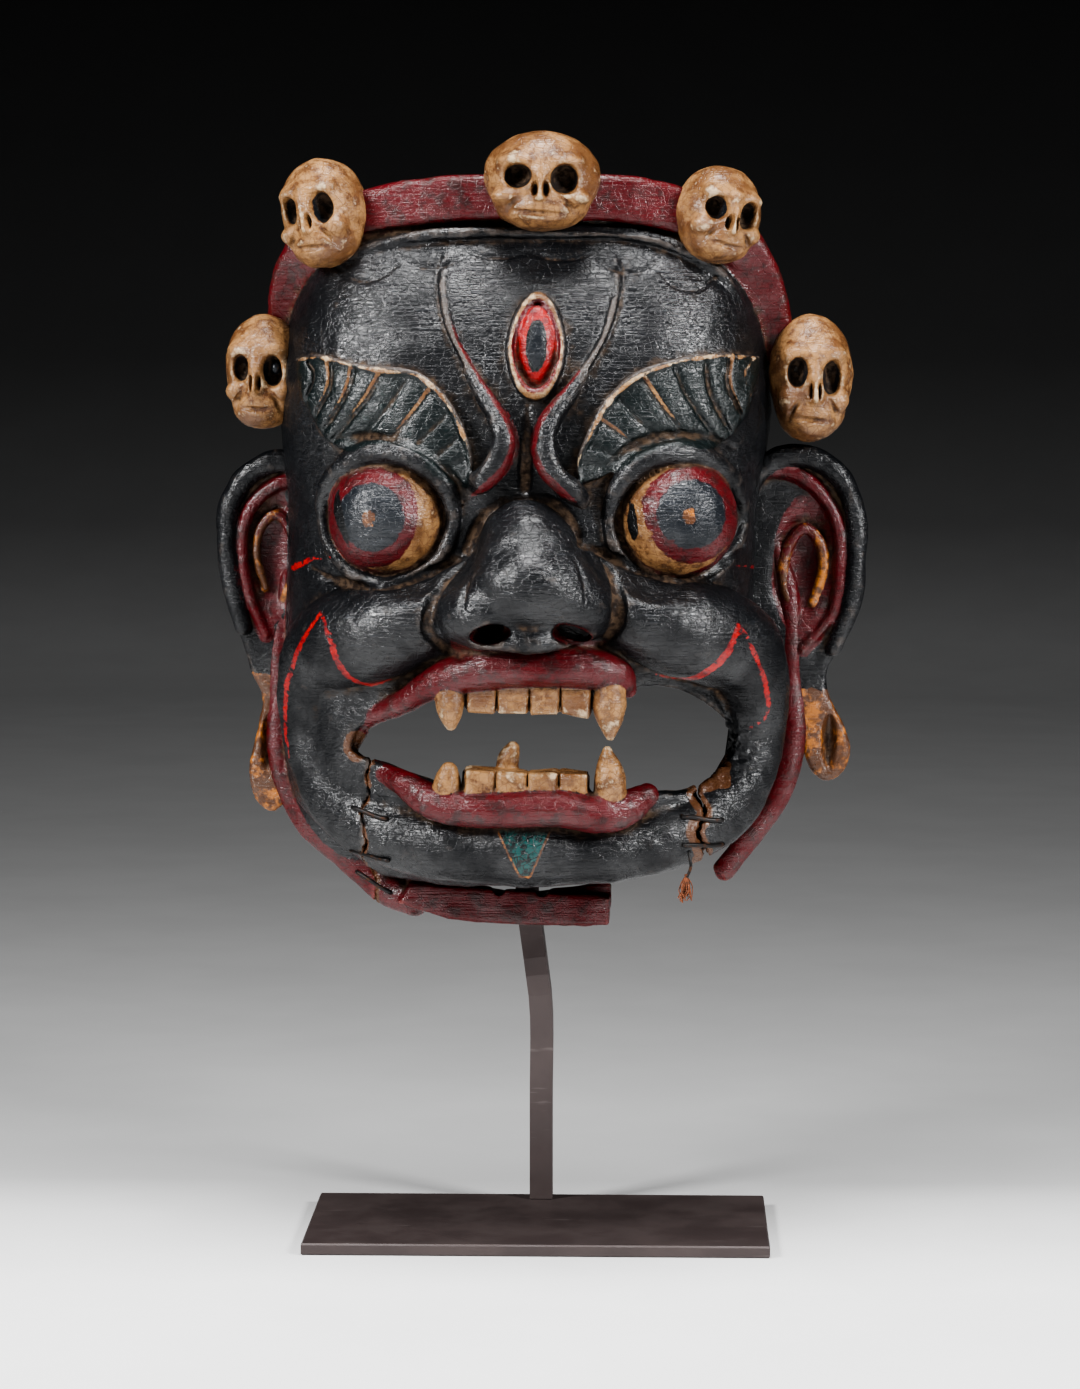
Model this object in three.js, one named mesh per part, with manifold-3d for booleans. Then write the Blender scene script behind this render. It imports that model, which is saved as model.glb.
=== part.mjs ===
// A carved and painted wooden dance mask of a wrathful protector with a crown of five skulls, and its stand.
// Millimetres, +Z up, the face towards -Y. The origin is the centre of the base plate's underside.
//
// The mask is drawn in its own frame: u to the right, d forwards from the flat back of the rim, v up from the
// foot of the chin. One group leans that frame a little and stands it at its height over the base plate.
import * as THREE from "three";
import { mergeVertices } from "three/addons/utils/BufferGeometryUtils.js";
import Module from "manifold-3d";

const wasm = await Module();
wasm.setup();

// ---- driving dimensions ----
const BASE = { width: 236, depth: 118, thick: 6, bevel: 0.8 };
const STEM = { width: 12, thick: 12, rear_margin: 8 };
const STRAP = { tall: 14, thick: 4, rise: 48, half_span: 34, clear: 8.5 };
const MASK = { foot: [-6.5, 30, 156.4], lean_deg: 1.47 };
const DOME = { half_width: 123, up: 181, down: 166, depth: 96, centre: [-7, 190], square: 5, round: 2.8 };
const JAW = { centre: [-2, 0, 85], form: [124, 102, 81] };
const WALL = { side: 14, front: 15 };
const BROW_PROUD = 8;
const WIRE_R = 0.9;
const STITCH_LEG = 4;
const STITCH_BOW = 2.5;
const GAP = 0.35;
const WELD = 0.05;

const TURN = 2 * Math.PI;
const SIDES = [-1, 1];

// ---- solids from three.js geometry ----
function solid(geometry) {
  geometry.deleteAttribute("normal");
  geometry.deleteAttribute("uv");
  const merged = mergeVertices(geometry, 1e-4);
  const triVerts = new Uint32Array(merged.index.array);
  return new wasm.Manifold(
    new wasm.Mesh({ numProp: 3, vertProperties: merged.attributes.position.array, triVerts }),
  );
}

// A solid's mesh, with corners closer than WELD made one and the slivers between them left out.
function geometryOf(made) {
  const { numProp, numVert, vertProperties, triVerts } = made.getMesh();
  const positions = new Float32Array(numVert * 3);
  for (let i = 0; i < numVert; i++) {
    positions.set(vertProperties.subarray(i * numProp, i * numProp + 3), i * 3);
  }
  const raw = new THREE.BufferGeometry()
    .setAttribute("position", new THREE.BufferAttribute(positions, 3))
    .setIndex(new THREE.BufferAttribute(triVerts, 1));
  const welded = mergeVertices(raw, WELD);
  const kept = [];
  for (let i = 0; i < welded.index.count; i += 3) {
    const [a, b, c] = [0, 1, 2].map((corner) => welded.index.getX(i + corner));
    if (a !== b && b !== c && c !== a) kept.push(a, b, c);
  }
  return welded.setIndex(kept);
}

const joined = (solids) => solids.reduce((all, next) => all.add(next));
const at = ([u, d, v]) => new THREE.Vector3(u, -d, v);

// An egg: half sizes along u, d and v, turned about v and then about d, in degrees.
function ball(place, [ru, rd, rv], { yaw = 0, roll = 0, around = 8, rings = 6 } = {}) {
  const egg = new THREE.SphereGeometry(1, around, rings).rotateX(Math.PI / 2).scale(ru, rd, rv);
  egg.rotateY(THREE.MathUtils.degToRad(roll)).rotateZ(THREE.MathUtils.degToRad(yaw));
  const centre = at(place);
  return solid(egg.translate(centre.x, centre.y, centre.z));
}

// A round rope with ball ends, along a smooth curve through the points. An arc has two sides to a segment.
function rope(points, radius, { steps = points.length + 2, sides = 6 } = {}) {
  const path = new THREE.CatmullRomCurve3(points.map(at), false, "centripetal");
  const section = new THREE.Shape();
  section.absarc(0, 0, radius, 0, TURN);
  const tube = solid(
    new THREE.ExtrudeGeometry(section, { extrudePath: path, steps, curveSegments: sides / 2 }),
  );
  const end_form = [radius, radius, radius];
  const ends = [points[0], points.at(-1)].map((p) => ball(p, end_form, { around: sides, rings: 4 }));
  return joined([tube, ...ends]);
}

// A flat outline in u and v, given a thickness from d = back to d = front.
function slab(outline, back, front, { smooth = false, points = 48 } = {}) {
  const corners = outline.map(([u, v]) => new THREE.Vector2(u, v));
  const closed = corners.map((p) => new THREE.Vector3(p.x, p.y, 0));
  const curve = new THREE.CatmullRomCurve3(closed, true, "centripetal");
  const rounded = () => curve.getPoints(points).slice(0, -1).map((p) => new THREE.Vector2(p.x, p.y));
  const edge = smooth ? rounded() : corners;
  const body = new THREE.ExtrudeGeometry(new THREE.Shape(edge), {
    depth: front - back,
    bevelEnabled: false,
    steps: 1,
  });
  return solid(body.rotateX(Math.PI / 2).translate(0, -back, 0));
}

function block([u0, d0, v0], [u1, d1, v1]) {
  const box = new THREE.BoxGeometry(u1 - u0, d1 - d0, v1 - v0);
  return solid(box.translate((u0 + u1) / 2, -(d0 + d1) / 2, (v0 + v1) / 2));
}

// Everything behind the mask's back: a plane at d = 0 that leans forwards under the chin.
function behindBack() {
  const edge = [[0, 500], [0, 62], [-24, 0], [-24, -80], [120, -80], [120, 500]];
  const profile = new THREE.Shape(edge.map(([y, v]) => new THREE.Vector2(y, v)));
  const body = new THREE.ExtrudeGeometry(profile, { depth: 600, bevelEnabled: false });
  return solid(body.rotateX(Math.PI / 2).rotateZ(Math.PI / 2).translate(-300, 0, 0));
}

// ---- the head: a dome with a squarish outline, hollow behind ----
const outlineRadius = (angle, a, c) =>
  (Math.abs(Math.cos(angle) / a) ** DOME.square + Math.abs(Math.sin(angle) / c) ** DOME.square) **
  (-1 / DOME.square);

function dome(inset, inset_front, past_back, { around = 26, rings = 6 } = {}) {
  const depth = DOME.depth - inset_front;
  const half_width = DOME.half_width - inset;
  const power = 2 / DOME.round;
  const profile = [new THREE.Vector2(0, -past_back), new THREE.Vector2(1, -past_back)];
  for (let i = 0; i <= rings; i++) {
    const rise = ((i / rings) * Math.PI) / 2;
    profile.push(new THREE.Vector2(i < rings ? Math.cos(rise) ** power : 0, depth * Math.sin(rise) ** power));
  }
  const kept = past_back ? profile : profile.filter((_, i) => i !== 1);
  const shell = new THREE.LatheGeometry(kept, around);
  const places = shell.attributes.position;
  for (let i = 0; i < places.count; i++) {
    const [x, forward, z] = [places.getX(i), places.getY(i), places.getZ(i)];
    const half_height = (z < 0 ? DOME.up : DOME.down) - inset;
    const reach = outlineRadius(Math.atan2(z, x), half_width, half_height);
    places.setXYZ(i, DOME.centre[0] + x * reach, -forward, DOME.centre[1] - z * reach);
  }
  return solid(shell);
}

// How far forward the dome's surface is at u, v.
function skin(u, v) {
  const across = Math.abs((u - DOME.centre[0]) / DOME.half_width) ** DOME.square;
  const half_height = v > DOME.centre[1] ? DOME.up : DOME.down;
  const up = Math.abs((v - DOME.centre[1]) / half_height) ** DOME.square;
  const r = Math.min(1, (across + up) ** (1 / DOME.square));
  return DOME.depth * (1 - r ** DOME.round) ** (1 / DOME.round);
}

const onSkin = (u, v, proud = 0) => [u, skin(u, v) + proud, v];

// ---- features of the face, each for one side where it is paired ----
const BROW = [
  [120, 284], [98, 289], [67, 287], [43, 271], [29, 246], [29, 228], [43, 237], [66, 246], [94, 248],
  [112, 262],
];
function brow(side) {
  const outline = BROW.map(([u, v]) => [side * u - 3, v]);
  return slab(outline, 20, 150, { smooth: true, points: 18 }).intersect(dome(-BROW_PROUD, -BROW_PROUD, 0));
}

const frownFold = (side) =>
  rope(
    [[42, 337, 1], [39, 318, 2], [29, 292, 3], [12, 268, 7], [4, 254, 10], [8, 240, 10], [22, 226, 7]].map(
      ([u, v, proud]) => onSkin(side * u - 3, v, proud),
    ),
    5,
    { steps: 9, sides: 4 },
  );

const eye = (side) => {
  const lid = [[-33, -4], [-24, 18], [0, 29], [24, 18], [33, -4]];
  return joined([
    ball([side * 72, 76, 215], [30, 30, 29], { around: 12, rings: 8 }),
    rope(lid.map(([u, v]) => [side * 72 + u, 94 - Math.abs(u) * 0.3, 215 + v]), 6, { steps: 6, sides: 4 }),
  ]);
};

const thirdEye = () => ball(onSkin(-0.5, 300, 2), [16, 10, 27]);

function nose() {
  const under = [[-36, 110, 166], [-18, 122, 156], [0, 128, 153], [18, 122, 156], [36, 110, 166]];
  return joined([
    ball([-3, 98, 214], [18, 20, 24]),
    ball([0, 106, 184], [29, 39, 26], { around: 10, rings: 8 }),
    ...SIDES.map((side) => ball([side * 30, 104, 173], [17, 23, 17])),
    rope(under, 8, { steps: 6, sides: 4 }),
  ]);
}

const nostril = (side) => ball([side * 19.5, 106, 161], [10, 50, 4.5]);

// The fold that leaves the nose, passes under an eye and turns down beside the mouth, to meet its other half
// under the lip. Its half runs from the nose to the jaw.
const FOLD = [
  [14, 100, 199], [44, 100, 184], [75, 86, 172], [98, 66, 162], [109, 48, 142], [112, 38, 115], [108, 40, 90],
  [96, 51, 68], [72, 70, 55], [38, 84, 48],
];
function cheekFold() {
  const half = (side) => FOLD.map(([u, d, v]) => [side * u, d, v]);
  return rope([...half(-1), [0, 88, 47], ...half(1).reverse()], 19, { steps: 22, sides: 8 });
}

const cheekApple = (side) => ball([side * 66, 84, 156], [32, 22, 25]);
const muzzle = () => ball([0, 97, 142], [50, 15, 16]);

// ---- the mouth ----
const MOUTH = [
  [-86, 98], [-82, 110], [-58, 120], [-40, 128], [0, 130], [44, 131], [58, 135], [82, 131], [101, 112],
  [101, 94], [84, 79], [58, 79], [0, 80], [-44, 82], [-70, 88],
];
const mouthHole = () => slab(MOUTH, -10, 170, { smooth: true, points: 26 });

const upperLip = () =>
  rope(
    [
      [-86, 70, 100], [-76, 79, 114], [-56, 95, 124], [-38, 104, 136], [0, 111, 139], [38, 106, 140],
      [48, 99, 134],
    ],
    8,
  );

const lowerLip = () =>
  rope(
    [
      [-74, 78, 84], [-60, 90, 80], [-44, 101, 72], [-10, 109, 75], [20, 109, 77], [46, 102, 73],
      [60, 92, 80],
    ],
    8,
    { steps: 10 },
  );

const TEETH = { count: 4, from: -30, to: 32, deep: [94, 111] };
function toothRow(low, high) {
  const pitch = (TEETH.to - TEETH.from) / TEETH.count;
  const gum = block([TEETH.from, TEETH.deep[0], low], [TEETH.to, TEETH.deep[1] - 3, high - 1]);
  const crowns = Array.from({ length: TEETH.count }, (_, i) =>
    block(
      [TEETH.from + i * pitch + 0.7, TEETH.deep[0] + 1, low + 0.2],
      [TEETH.from + (i + 1) * pitch - 0.7, TEETH.deep[1], high],
    ),
  );
  return joined([gum, ...crowns]);
}

// A fang: a blunt cone from its root, tip up or down.
function fang([u, d, root], tip, radius) {
  const length = Math.abs(tip - root);
  const [low, high] = [0.3 * length, 0.7 * length];
  const profile = [[0, -4], [radius, -4], [radius * 1.05, low], [radius * 0.7, high], [0, length]];
  const cone = new THREE.LatheGeometry(profile.map(([x, y]) => new THREE.Vector2(x, y)), 6);
  cone.rotateX(tip > root ? Math.PI / 2 : -Math.PI / 2);
  return solid(cone.translate(u, -d, root));
}

const upperTeeth = () =>
  joined([toothRow(118.5, 131), fang([-38, 104, 129], 110, 7.5), fang([40, 104, 131], 109, 8)]);

const lowerTeeth = () =>
  joined([toothRow(76, 91.5), fang([-39, 101, 80], 95, 7.5), fang([41, 101, 80], 102.5, 9)]);

const tongueStub = () => ball([-9, 97, 95], [6, 6, 9], { roll: 20, around: 7, rings: 5 });

// ---- ears, rim, crown ----
const EAR_LOBE = { right: [[151, 130], [160, 116], [165, 98], [159, 83], [149, 80], [141, 90], [134, 112]] };
EAR_LOBE.left = [[150, 136], [136, 112], [144, 86], [145, 68], [136, 56], [127, 60], [122, 84], [120, 110]];
const EAR_BOW = [
  [116, 236], [126, 247], [142, 248], [157, 238], [166, 220], [168, 198], [166, 176], [158, 152],
];

function ear(side) {
  const lobe = side > 0 ? EAR_LOBE.right : EAR_LOBE.left;
  const outline = [[104, 170], [106, 236], ...EAR_BOW, ...lobe, [112, 120]];
  const edge = outline.map(([u, v]) => [side * u, v]);
  const plate = slab(side > 0 ? edge : edge.reverse(), 3, 14, { smooth: true, points: 26 });
  const bow = [[112, 228], ...EAR_BOW].map(([u, v]) => [side * (u - 5), 15, v - 4]);
  const helix = rope(bow, 5.5, { steps: 8, sides: 4 });
  const inner = rope(
    [[120, 206], [124, 226], [140, 232], [152, 216], [154, 190], [146, 166], [130, 154]].map(([u, v]) => [
      side * (u - 2), 14, v - 3,
    ]),
    4.5,
    { steps: 7, sides: 4 },
  );
  return joined([plate, helix, inner]);
}

const RIM_R = 6.5;
const rightRim = () =>
  rope(
    [[122, 9, 200], [129, 9, 165], [134, 8, 130], [134, 8, 100], [127, 8, 72], [113, 8, 48], [98, 8, 29]],
    RIM_R,
  );
const leftRim = () =>
  rope(
    [
      [-126, 9, 170], [-130, 8, 135], [-131, 8, 105], [-127, 8, 72], [-112, 9, 48], [-92, 14, 30],
      [-60, 24, 14],
    ],
    RIM_R,
  );
const chinRim = () => block([-62, 22, 4.5], [43, 38, 20]);

// The crown: a rounded band over the top of the head, a bead under it, and the wood that joins both to
// the rim.
const BAND = [
  [-137, 16, 296], [-135, 22, 318], [-126, 32, 338], [-104, 42, 355], [-61, 52, 367], [0, 57, 371],
  [50, 53, 369], [88, 46, 358], [113, 36, 342], [126, 27, 322], [133, 18, 300],
];
function crownBand() {
  const bead = BAND.slice(2, -2).map(([u, d, v]) => [u * 0.93, d + 8, v - 14]);
  const backing = slab([...BAND.map(([u, , v]) => [u, v]), [112, 280], [-116, 280]].reverse(), 0, 18);
  return joined([backing, rope(BAND, 13, { steps: 14 }), rope(bead, 5, { steps: 9, sides: 4 })]);
}

// place, half sizes, and the way the skull looks: yaw about v, roll about d, in degrees
const SKULLS = [
  { place: [-0.5, 64, 381], form: [29, 25, 24], yaw: 0, roll: 0 },
  { place: [-109, 50, 363], form: [21, 23, 28], yaw: -24, roll: -6 },
  { place: [87, 52, 368], form: [21, 23, 24], yaw: 22, roll: 8 },
  { place: [-138, 24, 283], form: [22, 22, 30], yaw: -10, roll: -2 },
  { place: [137, 24, 287], form: [22, 22, 32], yaw: 6, roll: 0 },
];

function skull({ place, form, yaw, roll }) {
  const turn = new THREE.Euler(0, THREE.MathUtils.degToRad(roll), THREE.MathUtils.degToRad(yaw), "ZYX");
  const [ru, rd, rv] = form;
  const near = (x, forward, z) => {
    const p = new THREE.Vector3(x * ru, -forward * rd, z * rv).applyEuler(turn);
    return [place[0] + p.x, place[1] - p.y, place[2] + p.z];
  };
  const head = ball(place, [ru, rd, rv * 0.96], { yaw, roll, around: 8, rings: 6 });
  const jaw = ball(near(0, 0.3, -0.62), [ru * 0.72, rd * 0.7, rv * 0.36], { yaw, roll, around: 6, rings: 4 });
  const socket_form = [ru * 0.22, rd * 0.5, ru * 0.22];
  const sockets = SIDES.map((side) => ball(near(side * 0.42, 1, 0.08), socket_form, { around: 5, rings: 3 }));
  const nose_pit = ball(near(0, 1.05, -0.18), [ru * 0.1, rd * 0.3, rv * 0.12], { around: 4, rings: 3 });
  return head.add(jaw).subtract(joined([...sockets, nose_pit]));
}

// ---- the whole carving, then the jaw that has broken off it ----
function jawForm(inset, inset_front, fineness = { around: 18, rings: 10 }) {
  const [ru, rd, rv] = JAW.form;
  return ball(JAW.centre, [ru - inset, rd - inset_front, rv - inset], fineness);
}

function wholeMask() {
  const relief = joined([
    dome(0, 0, 0),
    jawForm(0, 0),
    ...SIDES.flatMap((side) => [cheekApple(side), brow(side), ear(side)]),
    cheekFold(),
    muzzle(),
    nose(),
    leftRim(),
    rightRim(),
    chinRim(),
    crownBand(),
  ]);
  const hollow = dome(WALL.side, WALL.front, 30, { around: 22, rings: 5 }).add(
    jawForm(WALL.side, WALL.front, { around: 14, rings: 8 }),
  );
  const behind = behindBack();
  const opened = relief.subtract(joined([hollow, behind, mouthHole()]));
  const details = joined([
    ...SIDES.flatMap((side) => [eye(side), frownFold(side)]),
    ...SKULLS.map(skull),
    thirdEye(),
    upperLip(),
    lowerLip(),
    upperTeeth(),
    lowerTeeth(),
    tongueStub(),
  ]);
  return opened
    .add(details.subtract(joined([behind, hollow])))
    .subtract(joined(SIDES.map(nostril)));
}

// The outline of the broken-off jaw, seen from the front: jagged at the two breaks, open through the mouth.
function jawOutline(gap) {
  const left = [[-79, 106], [-77, 84], [-81, 66], [-78, 50], [-82, 36], [-76, 20], [-79, -20]];
  const right = [[88, -20], [89, 20], [85, 44], [88, 60], [84, 74], [86, 106]];
  return [...left.map(([u, v]) => [u - gap, v]), ...right.map(([u, v]) => [u + gap, v])];
}

// ---- wire stitches: a staple over the break, its legs let into drilled holes ----
function stitch([u0, d0, v0], [u1, d1, v1], radius) {
  const middle = [(u0 + u1) / 2, (d0 + d1) / 2 + STITCH_BOW, (v0 + v1) / 2];
  const feet = [[u0, d0 - STITCH_LEG, v0], [u1, d1 - STITCH_LEG, v1]];
  const path = [feet[0], [u0, d0, v0], middle, [u1, d1, v1], feet[1]];
  return rope(path, radius, { steps: 8, sides: 4 });
}

// Where a stitch's leg goes in is measured on the finished carving: the frontmost wood at u, v.
function frontOf(carving, u, v) {
  const probe = block([u - 1, -50, v - 1], [u + 1, 250, v + 1]).intersect(carving);
  return -probe.boundingBox().min[1];
}

const STITCHES = {
  left_stitch_upper: [[-87, 67], [-69, 63]],
  left_stitch_lower: [[-88, 44], [-68, 42]],
  right_stitch_upper: [[78, 68], [98, 66]],
  right_stitch_lower: [[79, 54], [99, 53]],
  left_rim_staple: [[-88, 27], [-70, 18]],
};

// ---- the stand ----
const STEM_PATH = [
  [0, BASE.thick], [0, 60], [0, 108], [-5, 132], [-16, 152], [-27, 172], [-36, 190], [-50, 202], [-66, 208],
  [-82, 208],
];

function stand_stem(mask_u) {
  const rear = BASE.depth / 2 - STEM.rear_margin;
  const top = STEM_PATH.at(-1)[1];
  const points = STEM_PATH.map(([forward, z]) => {
    const share = Math.max(0, (z - 108) / (top - 108));
    return new THREE.Vector3(mask_u * Math.min(1, 1.6 * share), rear + forward, z);
  });
  const path = new THREE.CatmullRomCurve3(points, false, "centripetal");
  const [half_w, half_t] = [STEM.width / 2, STEM.thick / 2];
  const section = new THREE.Shape([
    new THREE.Vector2(-half_t, -half_w),
    new THREE.Vector2(half_t, -half_w),
    new THREE.Vector2(half_t, half_w),
    new THREE.Vector2(-half_t, half_w),
  ]);
  return solid(new THREE.ExtrudeGeometry(section, { extrudePath: path, steps: 20, bevelEnabled: false }));
}

// The strap that the stem ends in: a flat bar bent to the inside of the jaw, under the mouth.
function strap(steps = 8) {
  const inside = (u, clear) => {
    const [ru, rd, rv] = JAW.form.map((half, axis) => half - clear - (axis === 1 ? WALL.front : WALL.side));
    return rd * Math.sqrt(1 - ((u - JAW.centre[0]) / ru) ** 2 - ((STRAP.rise - JAW.centre[2]) / rv) ** 2);
  };
  const row = (clear) =>
    Array.from({ length: steps + 1 }, (_, i) => {
      const u = STRAP.half_span * ((2 * i) / steps - 1);
      return new THREE.Vector2(u, inside(u, clear));
    });
  const edge = new THREE.Shape([...row(STRAP.clear), ...row(STRAP.clear + STRAP.thick).reverse()]);
  const bar = new THREE.ExtrudeGeometry(edge, { depth: STRAP.tall, bevelEnabled: false });
  return solid(bar.rotateX(Math.PI).translate(0, 0, STRAP.rise + STRAP.tall / 2));
}

function basePlate() {
  const { width, depth, thick, bevel } = BASE;
  const half = [width / 2 - bevel, depth / 2 - bevel];
  const outline = new THREE.Shape([
    new THREE.Vector2(-half[0], -half[1]),
    new THREE.Vector2(half[0], -half[1]),
    new THREE.Vector2(half[0], half[1]),
    new THREE.Vector2(-half[0], half[1]),
  ]);
  const plate = new THREE.ExtrudeGeometry(outline, {
    depth: thick - 2 * bevel,
    bevelThickness: bevel,
    bevelSize: bevel,
    bevelSegments: 1,
  });
  return solid(plate.translate(0, 0, bevel));
}

// ---- materials and assembly ----
const paint = (color, roughness) => new THREE.MeshStandardMaterial({ color, roughness, metalness: 0 });
const steel = (color, roughness) => new THREE.MeshStandardMaterial({ color, roughness, metalness: 0.6 });
const MATERIALS = {
  black_paint: paint(0x24262a, 0.42),
  iron_wire: steel(0x2a2827, 0.5),
  bronzed_steel: steel(0x4a3b3a, 0.55),
};

function named(name, made, material) {
  const mesh = new THREE.Mesh(geometryOf(made), material);
  mesh.name = name;
  return mesh;
}

const mask = new THREE.Group();
mask.position.set(...MASK.foot);
mask.rotation.y = THREE.MathUtils.degToRad(MASK.lean_deg);
mask.updateMatrixWorld(true);

// A solid of the mask's own frame, in the part's frame.
const outOfMask = (made) => made.transform(mask.matrixWorld.toArray());

const largest = (made) => made.decompose().reduce((a, b) => (b.volume() > a.volume() ? b : a));

const whole = wholeMask();
const jaw_cut = slab(jawOutline(0), -60, 250);
const jaw_room = slab(jawOutline(1.2), -60, 250);
const stitch_ends = Object.entries(STITCHES).map(([name, ends]) => ({
  name,
  ends: ends.map(([u, v]) => [u, frontOf(whole, u, v) - 0.2, v]),
}));
const stitch_room = joined(stitch_ends.map(({ ends }) => stitch(...ends, WIRE_R * 2.4)));
const stand_metal = stand_stem(MASK.foot[0]).add(outOfMask(strap()));
const carving = largest(whole.subtract(jaw_room).subtract(stitch_room));
const jaw = largest(whole.intersect(jaw_cut).subtract(stitch_room));

mask.add(named("mask_carving", carving, MATERIALS.black_paint));
mask.add(named("jaw_carving", jaw, MATERIALS.black_paint));
for (const { name, ends } of stitch_ends) {
  mask.add(named(name, stitch(...ends, WIRE_R), MATERIALS.iron_wire));
}

const part = new THREE.Group();
part.add(mask);
part.add(named("stand_stem", stand_metal.translate([0, 0, GAP]), MATERIALS.bronzed_steel));
part.add(named("stand_base", basePlate(), MATERIALS.bronzed_steel));

export default part;
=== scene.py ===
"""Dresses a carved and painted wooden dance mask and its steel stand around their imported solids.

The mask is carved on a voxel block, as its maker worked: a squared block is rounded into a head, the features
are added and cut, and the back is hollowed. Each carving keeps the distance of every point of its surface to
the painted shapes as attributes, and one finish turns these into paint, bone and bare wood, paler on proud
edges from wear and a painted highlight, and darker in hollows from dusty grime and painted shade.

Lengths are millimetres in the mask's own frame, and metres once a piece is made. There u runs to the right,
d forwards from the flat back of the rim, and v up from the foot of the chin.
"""

import logging
import math
from dataclasses import dataclass, field
from enum import Enum
from itertools import product
from typing import Callable, Iterable, Sequence

import bpy
import numpy as np
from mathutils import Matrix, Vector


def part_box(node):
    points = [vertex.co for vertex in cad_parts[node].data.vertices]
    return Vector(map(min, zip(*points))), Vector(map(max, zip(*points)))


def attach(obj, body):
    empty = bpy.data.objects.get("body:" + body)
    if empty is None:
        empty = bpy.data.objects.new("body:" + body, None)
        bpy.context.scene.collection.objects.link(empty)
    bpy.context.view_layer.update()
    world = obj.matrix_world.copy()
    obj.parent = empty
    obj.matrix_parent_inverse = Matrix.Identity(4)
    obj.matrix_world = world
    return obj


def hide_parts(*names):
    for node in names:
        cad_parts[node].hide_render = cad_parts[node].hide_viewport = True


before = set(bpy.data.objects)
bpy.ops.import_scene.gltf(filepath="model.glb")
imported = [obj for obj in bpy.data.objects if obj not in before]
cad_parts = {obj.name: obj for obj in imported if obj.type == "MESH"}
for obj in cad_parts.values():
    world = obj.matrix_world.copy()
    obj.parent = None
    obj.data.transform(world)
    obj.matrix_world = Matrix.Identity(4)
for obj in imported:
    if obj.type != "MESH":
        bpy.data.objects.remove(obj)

import openvdb
from mathutils import Vector

log = logging.getLogger("mask")
logging.basicConfig(level=logging.INFO, format="%(name)s: %(message)s")

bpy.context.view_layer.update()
MM = 0.001
FAR = 30.0  # mm from anything painted or carved, where it no longer counts
Array = np.ndarray
Triple = tuple[float, float, float]
SIDES = (-1, 1)


# ---- numbers and curves ----
def smooth_least(a: Array, b: Array, blend: float) -> Array:
    """Returns the lesser of two fields, rounded where they meet within the blend.

    Args:
        a: The first field.
        b: The second field.
        blend: Width of the rounding; 0 leaves a crisp crease.

    Returns:
        The joined field.
    """
    if blend <= 0:
        return np.minimum(a, b)
    near = np.maximum(blend - np.abs(a - b), 0) / blend
    return np.minimum(a, b) - near * near * blend / 4


def curve_through(points: Sequence[Sequence[float]], count: int, closed: bool = False) -> Array:
    """Samples a centripetal Catmull-Rom curve.

    Args:
        points: The points that the curve passes through, of any dimension.
        count: How many samples to return.
        closed: Whether the curve returns to its start.

    Returns:
        The samples, evenly spaced in the curve's parameter.
    """
    p = np.asarray(points, float)
    p = np.vstack([p[-1], p, p[:2]]) if closed else np.vstack([2 * p[0] - p[1], p, 2 * p[-1] - p[-2]])
    spans = len(p) - 3
    at = np.linspace(0, spans, count, endpoint=not closed)
    span = np.minimum(at.astype(int), spans - 1)
    t = (at - span)[:, None]
    knots = np.linalg.norm(np.diff(p, axis=0), axis=1) ** 0.5 + 1e-6
    k0, k1, k2 = (knots[span + i][:, None] for i in range(3))
    a, b, c, e = (p[span + i] for i in range(4))
    out_b = ((b - a) / k0 - (c - a) / (k0 + k1) + (c - b) / k1) * k1
    out_c = ((c - b) / k1 - (e - b) / (k1 + k2) + (e - c) / k2) * k1
    return (
        (2 * t**3 - 3 * t**2 + 1) * b
        + (t**3 - 2 * t**2 + t) * out_b
        + (-2 * t**3 + 3 * t**2) * c
        + (t**3 - t**2) * out_c
    )


def cloud(points: Array, size: float, seed: int) -> Array:
    """Returns smooth noise from -1 to 1.

    Args:
        points: Places, one to a row.
        size: Size of a blotch, in the points' unit.
        seed: Chooses the pattern.

    Returns:
        One value for each place.
    """
    table = np.random.default_rng(seed).uniform(-1, 1, 4096)
    scaled = points / size
    cell = np.floor(scaled).astype(np.int64)
    part = scaled - cell
    part = part * part * (3 - 2 * part)
    total = np.zeros(len(points))
    for corner in product((0, 1), repeat=3):
        key = (cell + corner) * (73856093, 19349663, 83492791)
        share = np.prod(np.where(corner, part, 1 - part), axis=1)
        total += share * table[(key[:, 0] ^ key[:, 1] ^ key[:, 2]) & 4095]
    return total


# ---- forms: closed shapes as signed distances ----
@dataclass(frozen=True)
class Form:
    """A closed shape, as the distance of any place to its surface: negative inside.

    Attributes:
        low: Lowest corner of its box.
        high: Highest corner of its box.
        distance: Distance at arrays of u, d and v.
        parts: For a shape of many short parts, the parts; distance is then unused.
    """

    low: Triple
    high: Triple
    distance: Callable[[Array, Array, Array], Array] | None = None
    parts: tuple["Form", ...] = ()

    def near(self, points: Array, reach: float = 12.0) -> Array:
        """Returns the distance at scattered places.

        Args:
            points: Places, one to a row.
            reach: How far around the shape distances are worked out; beyond it they are FAR.

        Returns:
            One distance for each place.
        """
        out = np.full(len(points), FAR)
        for part in self.parts or (self,):
            low, high = np.array(part.low) - reach, np.array(part.high) + reach
            rows = np.flatnonzero(np.all((points > low) & (points < high), axis=1))
            if len(rows):
                u, d, v = points[rows].T
                out[rows] = np.minimum(out[rows], part.distance(u, d, v))
        return out


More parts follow.
